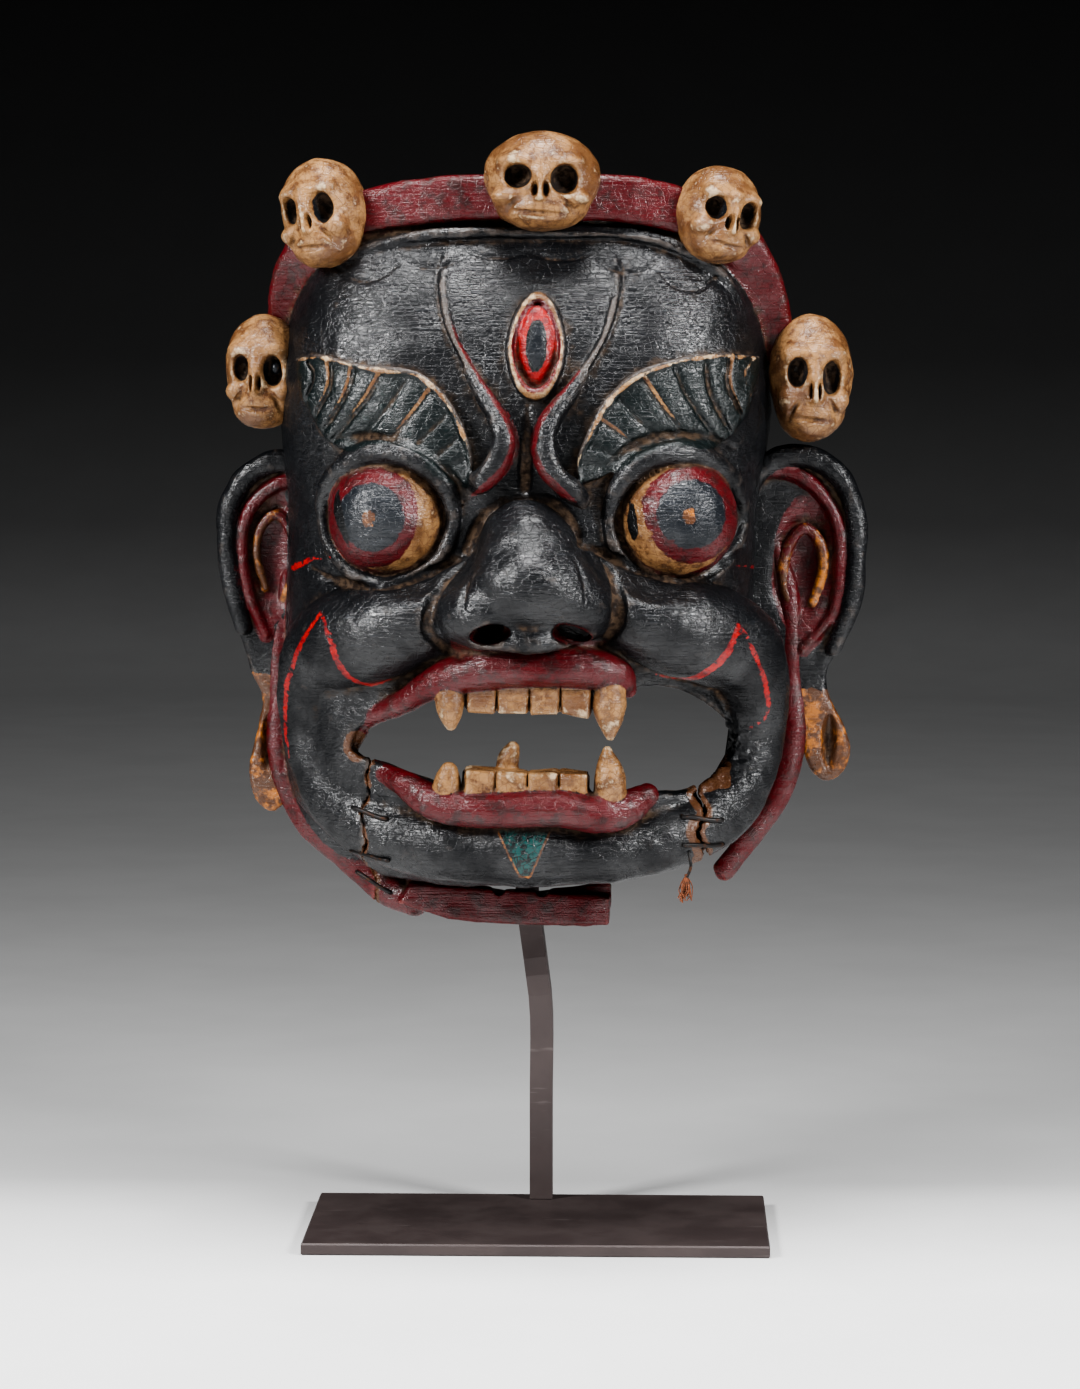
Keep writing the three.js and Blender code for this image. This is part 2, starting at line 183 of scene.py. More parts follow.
def ball(centre: Triple, radii: Triple, turn: float = 0.0, tilt: float = 0.0) -> Form:
    """Makes an egg.

    Args:
        centre: Its middle.
        radii: Half sizes along u, d and v.
        turn: Degrees about v.
        tilt: Degrees about d.

    Returns:
        The form.
    """
    ct, st = math.cos(math.radians(turn)), math.sin(math.radians(turn))
    cl, sl = math.cos(math.radians(tilt)), math.sin(math.radians(tilt))

    def distance(u: Array, d: Array, v: Array) -> Array:
        """Returns the distance to the egg."""
        x, y, z = u - centre[0], d - centre[1], v - centre[2]
        x, y = ct * x + st * y, -st * x + ct * y
        x, z = cl * x + sl * z, -sl * x + cl * z
        k0 = np.sqrt((x / radii[0]) ** 2 + (y / radii[1]) ** 2 + (z / radii[2]) ** 2) + 1e-6
        k1 = np.sqrt((x / radii[0] ** 2) ** 2 + (y / radii[1] ** 2) ** 2 + (z / radii[2] ** 2) ** 2) + 1e-6
        return k0 * (k0 - 1) / k1

    reach = max(radii) if turn or tilt else None
    size = (reach,) * 3 if reach else radii
    low = tuple(c - s for c, s in zip(centre, size))
    high = tuple(c + s for c, s in zip(centre, size))
    return Form(low, high, distance)


def _link(a: Array, b: Array) -> Form:
    """Makes one link of a rope, between two rows of u, d, v and radius."""
    along = b[:3] - a[:3]
    length2 = float(along @ along) + 1e-9
    thickest = max(a[3], b[3])

    def distance(u: Array, d: Array, v: Array) -> Array:
        """Returns the distance to the link."""
        x, y, z = u - a[0], d - a[1], v - a[2]
        t = np.clip((x * along[0] + y * along[1] + z * along[2]) / length2, 0, 1)
        x, y, z = x - t * along[0], y - t * along[1], z - t * along[2]
        return np.sqrt(x * x + y * y + z * z) - (a[3] + t * (b[3] - a[3]))

    low = tuple(np.minimum(a[:3], b[:3]) - thickest)
    high = tuple(np.maximum(a[:3], b[:3]) + thickest)
    return Form(low, high, distance)


def rope(points: Sequence[Triple], radii: float | Sequence[float], closed: bool = False,
         fine: int = 4) -> Form:
    """Makes a round rope along a smooth curve.

    Args:
        points: The points it passes through.
        radii: Its radius, or one for each point.
        closed: Whether it returns to its start.
        fine: Links between two points.

    Returns:
        The form.
    """
    sizes = [radii] * len(points) if isinstance(radii, (int, float)) else radii
    rows = [(*p, r) for p, r in zip(points, sizes)]
    path = curve_through(rows, fine * len(points) + 1, closed)
    if closed:
        path = np.vstack([path, path[0]])
    return any_of(_link(a, b) for a, b in zip(path[:-1], path[1:]))


def tapered(places: Sequence[tuple[float, ...]]) -> Form:
    """Makes a rope through places whose last number is the rope's radius there."""
    return rope([place[:3] for place in places], [place[3] for place in places])


def outline_distance(outline: Array, u: Array, v: Array) -> Array:
    """Measures how far places are from a closed outline.

    Args:
        outline: Its corners in u and v.
        u: The places' u.
        v: Their v.

    Returns:
        Signed distances, negative inside.
    """
    best = np.full(np.broadcast(u, v).shape, 1e9)
    inside = np.zeros(best.shape, bool)
    for (au, av), (bu, bv) in zip(outline, np.roll(outline, -1, axis=0)):
        eu, ev = bu - au, bv - av
        t = np.clip(((u - au) * eu + (v - av) * ev) / (eu * eu + ev * ev + 1e-9), 0, 1)
        best = np.minimum(best, (u - au - t * eu) ** 2 + (v - av - t * ev) ** 2)
        crosses = (av > v) != (bv > v)
        inside ^= crosses & (u < (bu - au) * (v - av) / (bv - av + 1e-12) + au)
    return np.where(inside, -1, 1) * np.sqrt(best)


def slab(outline: Sequence[Sequence[float]], back: float, front: float, rounded: float = 0.0,
         smooth: int = 0) -> Form:
    """Makes a flat plate with an outline in u and v.

    Args:
        outline: Its corners.
        back: Its lowest d.
        front: Its highest d.
        rounded: Radius of its edges.
        smooth: Samples of a smooth curve through the corners; 0 keeps straight edges.

    Returns:
        The form.
    """
    edge = curve_through(outline, smooth, True) if smooth else np.asarray(outline, float)
    middle, half = (back + front) / 2, (front - back) / 2

    def distance(u: Array, d: Array, v: Array) -> Array:
        """Returns the distance to the plate."""
        across = outline_distance(edge, u, v) + rounded
        through = np.abs(d - middle) - half + rounded
        outside = np.sqrt(np.maximum(across, 0) ** 2 + np.maximum(through, 0) ** 2)
        return outside + np.minimum(np.maximum(across, through), 0) - rounded

    (lu, lv), (hu, hv) = edge.min(0), edge.max(0)
    return Form((lu, back, lv), (hu, front, hv), distance)


def any_of(forms: Iterable[Form]) -> Form:
    """Makes one form of several, with crisp creases."""
    parts = tuple(p for form in forms for p in (form.parts or (form,)))
    low = tuple(np.min([p.low for p in parts], axis=0))
    high = tuple(np.max([p.high for p in parts], axis=0))
    return Form(low, high, parts=parts)


# ---- the block that is carved ----
class Block:
    """A block of wood as signed distances on a grid, in the mask's frame."""

    def __init__(self, low: Triple, high: Triple, step: float) -> None:
        """Starts with no wood.

        Args:
            low: Lowest corner of the grid.
            high: Highest corner of the grid.
            step: Grid spacing.
        """
        self.step = step
        self.low = np.array(low, float)
        self.axes = [np.arange(lo, hi, step, dtype=np.float32) for lo, hi in zip(low, high)]
        self.wood = np.full([len(a) for a in self.axes], FAR, np.float32)

    def coordinates(self, spans: Sequence[slice]) -> list[Array]:
        """Returns the grid's u, d and v over some spans, ready to combine."""
        shapes = ((-1, 1, 1), (1, -1, 1), (1, 1, -1))
        return [axis[span].reshape(shape) for axis, span, shape in zip(self.axes, spans, shapes)]

    def spans(self, form: Form, reach: float) -> list[slice] | None:
        """Returns the part of the grid around a form, or None where it lies outside."""
        found = []
        for axis, low, high in zip(self.axes, form.low, form.high):
            first, last = np.searchsorted(axis, (low - reach, high + reach))
            if first >= last:
                return None
            found.append(slice(int(first), int(last)))
        return found

    def measured(self, form: Form, reach: float) -> tuple[tuple[slice, ...], Array] | None:
        """Returns the spans around a form and its distances there."""
        spans = self.spans(form, reach)
        if spans is None:
            return None
        if not form.parts:
            return tuple(spans), form.distance(*self.coordinates(spans)).astype(np.float32)
        local = np.full([s.stop - s.start for s in spans], FAR, np.float32)
        for part in form.parts:
            inner = self.spans(part, reach)
            if inner is not None:
                here = tuple(slice(i.start - s.start, i.stop - s.start) for i, s in zip(inner, spans))
                local[here] = np.minimum(local[here], part.distance(*self.coordinates(inner)))
        return tuple(spans), local

    def add(self, form: Form, blend: float = 0.0) -> None:
        """Adds a form, with a fillet of the blend's width."""
        made = self.measured(form, 2 * self.step + blend)
        if made:
            self.wood[made[0]] = smooth_least(self.wood[made[0]], made[1], blend)

    def cut(self, form: Form, blend: float = 0.0) -> None:
        """Cuts a form away, with an edge rounded by the blend."""
        made = self.measured(form, 2 * self.step + blend)
        if made:
            self.wood[made[0]] = -smooth_least(-self.wood[made[0]], made[1], blend)

    def surface(self) -> tuple[Array, Array]:
        """Returns the surface's points, in the mask's frame, and its quads."""
        band = 3 * self.step
        grid = openvdb.FloatGrid(background=band)
        grid.copyFromArray(np.clip(self.wood, -band, band))
        points, quads = grid.convertToQuads(0.0)
        return points * self.step + self.low, quads.astype(np.int64)

    def sampled(self, values: Array, points: Array) -> Array:
        """Returns grid values at scattered places, by linear interpolation."""
        at = (points - self.low) / self.step
        cell = np.clip(np.floor(at).astype(int), 0, np.array(values.shape) - 2)
        part = at - cell
        total = np.zeros(len(points))
        for corner in product((0, 1), repeat=3):
            share = np.prod(np.where(corner, part, 1 - part), axis=1)
            i, j, k = (cell + corner).T
            total += share * values[i, j, k]
        return total

    def front(self, u: float, v: float) -> float:
        """Returns the d of the frontmost wood at u and v, or not-a-number where there is none."""
        i = round((u - self.low[0]) / self.step)
        k = round((v - self.low[2]) / self.step)
        if not (0 <= i < self.wood.shape[0] and 0 <= k < self.wood.shape[2]):
            return math.nan
        column = self.wood[i, :, k]
        if not (column[:-1] < 0).any():
            return math.nan
        last = int(np.flatnonzero(column[:-1] < 0)[-1])
        share = column[last] / (column[last] - column[last + 1])
        return float(self.axes[1][last] + share * self.step)

    def relief(self, points: Array, spread: float) -> Array:
        """Returns how proud each place of the surface stands: positive on edges, negative in hollows.

        Args:
            points: Places on the surface.
            spread: Size in mm of the features that count.

        Returns:
            Millimetres, about -2 to 2.
        """
        blurred = np.clip(self.wood, -2 * spread, 2 * spread)
        width = max(1, round(spread / self.step))
        for axis in range(3):
            padded = np.pad(blurred, [(width + 1, width) if a == axis else (0, 0) for a in range(3)], "edge")
            total = np.cumsum(padded, axis=axis, dtype=np.float64)
            ahead = np.take(total, range(2 * width + 1, total.shape[axis]), axis=axis)
            behind = np.take(total, range(0, total.shape[axis] - 2 * width - 1), axis=axis)
            blurred = ((ahead - behind) / (2 * width + 1)).astype(np.float32)
        return self.sampled(blurred, points)


# ---- the mask's place and its main shape ----
@dataclass(frozen=True)
class MaskPlace:
    """Where the mask's own frame stands over the base plate.

    Attributes:
        beside: Foot of the chin, to the right of the plate's middle.
        above: Foot of the chin, above the plate's underside.
        lean_deg: Lean of the mask to the right.
    """

    beside: float = -6.5
    above: float = 156.4
    lean_deg: float = 1.47

    def foot(self) -> Array:
        """Returns the foot of the chin at the back of the rim, in millimetres."""
        plate_low, plate_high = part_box("stand_base")
        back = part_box("mask_carving")[1].y / MM
        middle = (plate_low.x + plate_high.x) / 2 / MM
        return np.array([middle + self.beside, back, plate_low.z / MM + self.above])

    def to_world(self, points: Array) -> Array:
        """Returns places of the mask's frame, in metres in the scene."""
        c, s = math.cos(math.radians(self.lean_deg)), math.sin(math.radians(self.lean_deg))
        u, d, v = points.T
        return (np.stack([c * u + s * v, -d, c * v - s * u], axis=1) + self.foot()) * MM


@dataclass(frozen=True)
class HeadForm:
    """The rounded head that the features are carved on.

    Attributes:
        middle: Its middle in u and v.
        half_width: Half its width.
        waist: How much narrower each side is below the brows.
        up: Its height above the middle.
        down: Its height below the middle.
        depth: How far forward it stands.
        square: Squareness of its outline.
        full: Fullness of its front.
        jaw_centre: Middle of the egg that makes the jaw.
        jaw_form: Half sizes of that egg.
        wall: Thickness of the wood.
    """

    middle: tuple[float, float] = (-8, 190)
    half_width: float = 127
    waist: float = 7
    up: float = 183
    down: float = 166
    depth: float = 95
    square: float = 4.2
    full: float = 2.7
    jaw_centre: Triple = (-1, 0, 86)
    jaw_form: Triple = (124, 100, 82)
    wall: float = 14

    def _gauge(self, u: Array, v: Array) -> tuple[Array, Array, Array]:
        """Returns how far out u and v are, and the whole radius, as shares of the outline."""
        width = self.half_width - self.waist * np.clip((268 - v) / 50, 0, 1)
        across = np.abs(u - self.middle[0]) / width
        rise = np.abs(v - self.middle[1]) / np.where(v > self.middle[1], self.up, self.down)
        return across, rise, (across**self.square + rise**self.square) ** (1 / self.square) + 1e-4

    def skin(self, u: float, v: float) -> float:
        """Returns how far forward the head's surface is at u and v."""
        radius = min(1.0, float(self._gauge(np.array(u), np.array(v))[2]))
        dome = self.depth * (1 - radius**self.full) ** (1 / self.full)
        a, _, c = self.jaw_form
        rest = 1 - ((u - self.jaw_centre[0]) / a) ** 2 - ((v - self.jaw_centre[2]) / c) ** 2
        return max(dome, self.jaw_form[1] * math.sqrt(max(rest, 0)))

    def distance(self, u: Array, d: Array, v: Array) -> Array:
        """Returns the distance to the head, whose walls run straight back past its rim."""
        across, rise, radius = self._gauge(u, v)
        ahead = np.maximum(d, 0) / self.depth
        gauge = (radius**self.full + ahead**self.full) ** (1 / self.full)
        slope_r = (radius / gauge) ** (self.full - 1)
        slope_u = slope_r * (across / radius) ** (self.square - 1) / self.half_width
        slope_v = slope_r * (rise / radius) ** (self.square - 1) / self.up
        slope_d = (ahead / gauge) ** (self.full - 1) / self.depth
        dome = (gauge - 1) / np.sqrt(slope_u**2 + slope_v**2 + slope_d**2)
        jaw = ball(self.jaw_centre, self.jaw_form).distance(u, np.maximum(d, 0), v)
        return smooth_least(dome, jaw, 14)

    def raised(self, outline: Sequence[Sequence[float]], proud: float, smooth: int = 40,
               deep: float = 12) -> Form:
        """Makes a plateau that follows the head's surface.

        Args:
            outline: Its outline in u and v.
            proud: How far it stands out.
            smooth: Samples of the smooth outline.
            deep: How far it reaches into the head.

        Returns:
            The form.
        """
        edge = curve_through(outline, smooth, True)
        (lu, lv), (hu, hv) = edge.min(0), edge.max(0)

        def distance(u: Array, d: Array, v: Array) -> Array:
            """Returns the distance to the plateau."""
            flat = outline_distance(edge, u, v)
            height = self.distance(u, d, v) - proud
            return -smooth_least(-np.maximum(flat, -height - proud - deep), -height, 3)

        return Form((lu, 0, lv), (hu, self.depth + 30, hv), distance)


HEAD = HeadForm()


def on_skin(u: float, v: float, proud: float = 0.0) -> Triple:
    """Returns a place on the head's surface, or a little proud of it."""
    return (u, HEAD.skin(u, v) + proud, v)


def turned(side: int, points: Sequence[Sequence[float]], right_shift: float = 0.0) -> list[tuple[float, ...]]:
    """Returns points drawn for the right side of the face, for either side, moved to the right by a shift."""
    return [(side * p[0] + right_shift, *p[1:]) for p in points]


# ---- the paints ----
class Paint(Enum):
    """A colour laid on the wood, in the order in which they were laid."""

    BONE = "bone"
    CRIMSON = "crimson"
    SCARLET = "scarlet"
    GREEN = "green"
    INK = "ink"
    GOLD = "gold"
    TURQUOISE = "turquoise"
    # Painted shadow in cracks and tie holes, and black paint that has run in drips.
    SOOT = "soot"
    BARE = "bare"


class PaintPlan:
    """The distance of each place of a surface to the edge of each paint: negative where it is painted."""

    def __init__(self, points: Array) -> None:
        """Starts a plan with no paint, for places of a surface in the mask's frame."""
        self.points = points
        self.fields = {paint: np.full(len(points), FAR) for paint in Paint}

    def lay(self, paint: Paint, shape: Form | Array, spread: float = 0.0) -> None:
        """Lays a paint over a form, or over a field of distances, and past it by the spread."""
        away = shape.near(self.points) if isinstance(shape, Form) else shape
        self.fields[paint] = np.minimum(self.fields[paint], away - spread)

    def keep_off(self, paint: Paint, shape: Form | Array, spread: float = 0.0) -> None:
        """Takes a paint off a shape."""
        away = shape.near(self.points) if isinstance(shape, Form) else shape
        self.fields[paint] = np.maximum(self.fields[paint], spread - away)


class Feature:
    """Something carved on the mask: it shapes the wood, and then it is painted."""

    def carve(self, block: Block) -> None:
        """Adds and cuts the feature's wood."""

    def paint(self, plan: PaintPlan) -> None:
        """Lays the feature's paints."""


# ---- the features of the face ----
@dataclass(frozen=True)
class Brow(Feature):
    """A leaf-shaped brow of combed strands, with a raised upper edge."""

    side: int
    top: tuple = (
        (118.7, 289.4), (107, 291.4), (92, 288.4), (73.6, 285.6), (56.9, 284), (43.3, 273), (34.7, 259),
        (29, 243), (30, 229),
    )
    bottom: tuple = ((117, 275), (109, 261), (101, 250), (84, 243), (62, 241), (45, 234), (30, 229))
    proud: float = 5.5
    strands: int = 9

    def _edge(self, points: Sequence[Sequence[float]], share: float) -> Array:
        """Returns a place along one edge of the leaf, at a share of its length."""
        path = curve_through(points, 41)
        return path[min(40, max(0, round(share * 40)))]

    def _strand(self, i: int) -> list[Triple]:
        """Returns the path of a groove between two strands."""
        share = (i + 0.6) / (self.strands + 0.8)
        start = self._edge(self.top, share)
        end = self._edge(self.bottom, min(1, share * 0.93 + 0.02))
        middle = (start + end) / 2 + (-5 + 2 * share, 3)
        path = curve_through([start, middle, end], 7)
        return [on_skin(self.side * u - 2, v, self.proud) for u, v in path]

    def outline(self) -> list[tuple[float, ...]]:
        """Returns the leaf's outline."""
        return turned(self.side, [*self.top, *reversed(self.bottom[:-1])], -2)

    def ridge(self) -> Form:
        """Returns the raised upper edge."""
        path = [on_skin(self.side * u - 2, v, self.proud) for u, v in self.top]
        return rope(path, [1.0, 1.4, 1.7, 2.0, 2.2, 2.2, 2.0, 1.6, 1.0])

    def carve(self, block: Block) -> None:
        """Raises the leaf and combs it."""
        block.add(HEAD.raised(self.outline(), self.proud), 1.5)
        for i in range(self.strands):
            block.cut(rope(self._strand(i), 1.25, fine=2), 1)
        block.add(self.ridge(), 1)

    def paint(self, plan: PaintPlan) -> None:
        """Paints the edge and some strands bone, and the rest dark green."""
        near_leaf = HEAD.raised(self.outline(), self.proud + 6, deep=20)
        tan = rope(self._tan_edge(), [0.3, 0.6, 0.9, 1.0, 1.0, 1.0, 0.8, 0.5, 0.2])
        plan.lay(Paint.GREEN, near_leaf)
        plan.lay(Paint.BONE, tan.near(plan.points) + 0.9 * cloud(plan.points, 5, 31))
        for i in self._tan_strands():
            path = self._strand(i)
            widths = np.interp(np.linspace(0, 1, len(path)), (0, 0.5, 1), (1.3, 1.2, 0.3))
            plan.lay(Paint.BONE, rope([(u + 1.5 * self.side, d, v) for u, d, v in path], list(widths)))
        plan.keep_off(Paint.GREEN, plan.fields[Paint.BONE])

    def _tan_edge(self) -> list[Triple]:
        """Returns the path of the bone line along the upper edge."""
        return [on_skin(self.side * u - 2, v - 0.5, self.proud + 2) for u, v in self.top]

    def _tan_strands(self) -> Sequence[int]:
        """Returns the grooves beside which the strands are bone."""
        return (1, 2, 3, 5) if self.side < 0 else (0, 1, 4, 6)


@dataclass(frozen=True)
class Eye(Feature):
    """A bulging eye in its lids."""

    side: int
    middle: tuple[float, float]
    pupil: tuple[float, float]
    seat: float = 79
    radius: float = 30

    def _ring(self, turns: Sequence[float]) -> list[Triple]:
        """Returns a ring around the eye, which leans over the top of the eyeball."""
        inner = self.side * self.middle[0]
        ring = []
        for a in turns:
            over = max(0.0, math.sin(a))
            u = self.middle[0] + (33.5 - 1.5 * over) * math.cos(a)
            v = self.middle[1] + (33.5 - 1.5 * over) * math.sin(a)
            cheek = 92 - 0.12 * max(0, self.side * u - inner + 20)
            ring.append((u, min(HEAD.skin(u, v), cheek) + 2 + 5 * over, v))
        return ring

    def ball(self) -> Form:
        """Returns the eyeball."""
        return ball((self.middle[0], self.seat, self.middle[1]), (self.radius,) * 3)

    def lids(self) -> Form:
        """Returns the lids: thick above, thin below."""
        turns = [2 * math.pi * i / 14 for i in range(14)]
        return rope(self._ring(turns), [3.4 + 3.0 * max(0, math.sin(a)) ** 0.7 for a in turns], closed=True)

    def carve(self, block: Block) -> None:
        """Scoops the socket, then sets the lids and the eyeball in it."""
        block.cut(ball((self.side * 68, 116, self.middle[1] - 1), (45, 32, 39)), 5)
        block.add(self.lids(), 2)
        block.add(self.ball())

    def paint(self, plan: PaintPlan) -> None:
        """Paints the white, the red ring, the iris and its dot."""
        u, d, v = plan.points.T
        on_ball = self.ball().near(plan.points) - 0.8
        away = np.hypot(u - self.pupil[0], v - self.pupil[1])
        from_middle = np.hypot(u - self.middle[0], v - self.middle[1])
        plan.lay(Paint.BONE, on_ball)
        plan.keep_off(Paint.CRIMSON, on_ball)
        plan.lay(Paint.CRIMSON, np.maximum(on_ball, away - 24 - 1.2 * np.sin(v / 7)))
        plan.lay(Paint.CRIMSON, np.maximum(on_ball, 28.6 - from_middle + 0.06 * (v - self.middle[1])))
        plan.lay(Paint.INK, np.maximum(on_ball, away - 17.0))
        dot = np.hypot((u - self.pupil[0] + 1) / 0.9, (v - self.pupil[1] + 1) / 1.2) - 3.8
        plan.lay(Paint.GOLD, np.maximum(on_ball, dot))


@dataclass(frozen=True)
class ThirdEye(Feature):
    """The upright eye in the forehead."""

    middle: tuple[float, float] = (-0.5, 299.5)
    half: tuple[float, float] = (12.2, 23.6)

    def _oval(self, share: float) -> list[Triple]:
        """Returns an oval with a pointed top, at a share of the eye's size."""
        turns = [2 * math.pi * i / 16 for i in range(16)]
        return [
            on_skin(
                self.middle[0] + share * self.half[0] * math.cos(a) * (1 - 0.14 * max(0, math.sin(a))),
                self.middle[1] + share * self.half[1] * math.sin(a),
                2.5,
            )
            for a in turns
        ]

    def carve(self, block: Block) -> None:
        """Raises the rim and the eyeball."""
        block.add(rope(self._oval(1), 2.9, closed=True, fine=3), 2)
        u, v = self.middle
        block.cut(ball((u, HEAD.skin(u, v) + 4, v), (11.4, 6, 22.4)), 1)
        block.add(ball((u, HEAD.skin(u, v) - 1.5, v), (10.2, 7, 20.5)), 0.5)
        lid = [(u + x, v + 33 - 0.035 * x * x) for x in (-13, -7, 0, 7, 13)]
        block.cut(rope([on_skin(a, b, 0.6) for a, b in lid], [0.6, 1.3, 1.6, 1.3, 0.6]), 1)

    def paint(self, plan: PaintPlan) -> None:
        """Paints the rim bone, the eye scarlet and its pupil dark."""
        u, d, v = plan.points.T
        x, z = (u - self.middle[0]) / self.half[0], (v - self.middle[1]) / self.half[1]
        size = (np.hypot(x * (1 + 0.16 * np.maximum(z, 0)), z) - 1) * self.half[0]
        size = np.where(d > 70, size, FAR)
        plan.lay(Paint.BONE, size, 1.4)
        plan.lay(Paint.CRIMSON, size, -0.2)
        plan.lay(Paint.SCARLET, size, -2.0)
        pupil = (np.hypot(x * 1.1, z * 0.85) - 0.38) * self.half[0]
        plan.lay(Paint.GREEN, np.where(d > 70, pupil, FAR), 1.2)
        plan.lay(Paint.INK, np.where(d > 70, pupil, FAR))


@dataclass(frozen=True)
class FrownFold(Feature):
    """A curved fold from the hair line down to the root of the nose."""

    side: int
    path: tuple = (
        (42, 343, 0), (43, 330, 0.5), (41, 316, 1), (36.5, 302, 2), (29, 288, 3.5), (20, 274, 7),
        (12.5, 262, 11), (10.5, 251, 13), (14.5, 240, 13), (23, 231, 11), (31, 224, 8),
    )
    radii: tuple = (0.7, 1.0, 1.3, 1.8, 2.8, 4.6, 6.0, 6.8, 6.8, 6.2, 4.4)
    crest: tuple = (
        (39, 314), (34, 301), (26, 288), (16, 274), (7, 261.5), (4.5, 251), (9, 239), (19, 229.5), (27, 224),
    )

    def _line(self, shift: float = 0.0, rise: float = 0.0) -> list[Triple]:
        """Returns the fold's path, shifted away from the middle of the face."""
        return [on_skin(self.side * (u + shift) - 5, v, p + rise) for u, v, p in self.path]

    def carve(self, block: Block) -> None:
        """Raises the fold and cuts the dark hollow outside it."""
        block.add(rope(self._line(), list(self.radii)), 3)
        block.cut(rope(self._line(3.4, -0.5)[:5], [0.6, 1.2, 1.6, 2.0, 2.6]), 1.0)
        block.cut(rope(self._line(11, 1)[4:9], [2.5, 4.0, 5.5, 6.0, 4.0]), 2.5)

    def paint(self, plan: PaintPlan) -> None:
        """Draws the red line along the fold."""
        start = 0 if self.side < 0 else 2
        u, d, v = plan.points.T
        widths = (0.2, 0.5, 0.8, 1.1, 1.7, 2.0, 2.1, 1.8, 0.5)[start:]
        line = [(self.side * x - 5, z) for x, z in self.crest[start:]]
        plan.lay(Paint.CRIMSON, np.where(d > 80, _flat_line(u, v, line, widths), FAR))


@dataclass(frozen=True)
class Nose(Feature):
    """The broad nose, its wings, and the fold over its root."""

    tip: Triple = (1, 110, 183)
    tip_form: Triple = (33, 33, 25)
    nostrils: tuple = ((-18, 6.5, 2.6, 12), (22, 9, 3.6, -14))

    def carve(self, block: Block) -> None:
        """Builds the nose and opens the nostrils."""
        block.add(rope([(-4, 93, 207), (-3, 100, 201), (-1, 106, 194)], [19, 23, 27]), 5)
        for side in SIDES:
            block.add(ball((side * 21 - 1.5, 107, 172 + 3.5 * side), (25, 29, 19), turn=side * 10), 6)
        block.add(ball(self.tip, self.tip_form), 4)
        block.add(rope([(-36, 104, 163), (-18, 121, 158), (1, 130, 156), (20, 121, 159), (38, 104, 166)],
                       [4, 5, 5.5, 5, 4]), 6)
        block.cut(rope([(-25, 142, 160), (-14, 147, 157), (16, 147, 159), (27, 142, 163)], [1, 6, 6, 1]), 5)

    def open_nostrils(self, block: Block) -> None:
        """Bores both nostrils through to the hollow."""
        for middle, wide, tall, tilt in self.nostrils:
            block.cut(ball((middle, 108, 161), (wide, 75, tall), tilt=tilt), 2)
            block.cut(ball((middle, 128, 159.5), (10, 16, 5), tilt=tilt), 2)

    def paint(self, plan: PaintPlan) -> None:
        """Reddens the nostrils."""
        for middle, wide, tall, tilt in self.nostrils:
            plan.lay(Paint.CRIMSON, ball((middle, 108, 161), (wide, 75, tall), tilt=tilt), 0.8)
            plan.lay(Paint.CRIMSON, ball((middle, 126, 159.5), (9.5, 16, 4.4), tilt=tilt), 0.4)


@dataclass(frozen=True)
class CheekFold(Feature):
    """The thick fold from the nose over the cheekbone and down beside the mouth into the jaw."""

    side: int

    def path(self) -> list[tuple[float, ...]]:
        """Returns places and radii along the fold."""
        if self.side < 0:
            return [
                (-22, 95, 190, 8), (-36, 97, 177, 15), (-53, 97, 166, 21), (-72, 91, 157, 23.5),
                (-90, 77, 152, 24.5), (-103, 61, 143, 22.5), (-108, 49, 126, 20.5), (-108, 43, 108, 19.5),
                (-104, 43, 88, 19), (-94, 52, 69, 18.5), (-72, 68, 56, 18), (-40, 82, 50, 17.5),
                (0, 87, 48, 17),
            ]
        return [
            (20, 95, 196, 8), (34, 97, 183, 15), (52, 97, 171, 21), (72, 91, 163, 24), (91, 77, 158, 25),
            (105, 62, 149, 22), (112, 50, 131, 19), (113, 44, 113, 17.5), (110, 44, 95, 17.5),
            (101, 52, 74, 18), (80, 66, 60, 18), (44, 81, 51, 17.5), (0, 87, 48, 17),
        ]

    def carve(self, block: Block) -> None:
        """Adds the fold."""
        block.add(tapered(self.path()), 3)

    def paint(self, plan: PaintPlan) -> None:
        """Draws the red wedge lines on the cheek and the curl under the eye."""
        u, d, v = plan.points.T
        for line, widths in self._lines():
            flat = _flat_line(u, v, turned(self.side, line), widths)
            plan.lay(Paint.SCARLET, np.where((d > 25) & (self.side * u > 20), flat, FAR))

    def _lines(self) -> list[tuple[list[tuple[float, float]], list[float]]]:
        """Returns each red line in u and v, with its half widths."""
        outer = [(103, 166), (113, 150), (122, 128), (124, 104), (121, 88)]
        inner = [(103, 166), (97, 150), (92, 138), (80, 130), (68, 133)]
        if self.side > 0:
            outer = [(103, 167), (112, 150), (118, 132), (119, 118), (111, 111)]
            inner = [(103, 167), (98, 152), (88, 142), (74, 137), (62, 139)]
        curl = [(122, 184), (112, 190), (101, 192)]
        return [
            (outer, [0.6, 1.1, 1.2, 0.9, 0.3]),
            (inner, [0.6, 1.8, 1.5, 0.9, 0.3]),
            (curl, [1.6, 1.1, 0.4]),
        ]


def _flat_line(u: Array, v: Array, line: Sequence[Sequence[float]], widths: Sequence[float]) -> Array:
    """Returns the distance to a drawn line of changing width, seen from the front."""
    path = curve_through([(*p[:2], w) for p, w in zip(line, widths)], 6 * len(line))
    best = np.full(len(u), FAR)
    for (au, av, aw), (bu, bv, bw) in zip(path[:-1], path[1:]):
        eu, ev = bu - au, bv - av
        t = np.clip(((u - au) * eu + (v - av) * ev) / (eu * eu + ev * ev + 1e-9), 0, 1)
        best = np.minimum(best, np.hypot(u - au - t * eu, v - av - t * ev) - (aw + t * (bw - aw)))
    return best


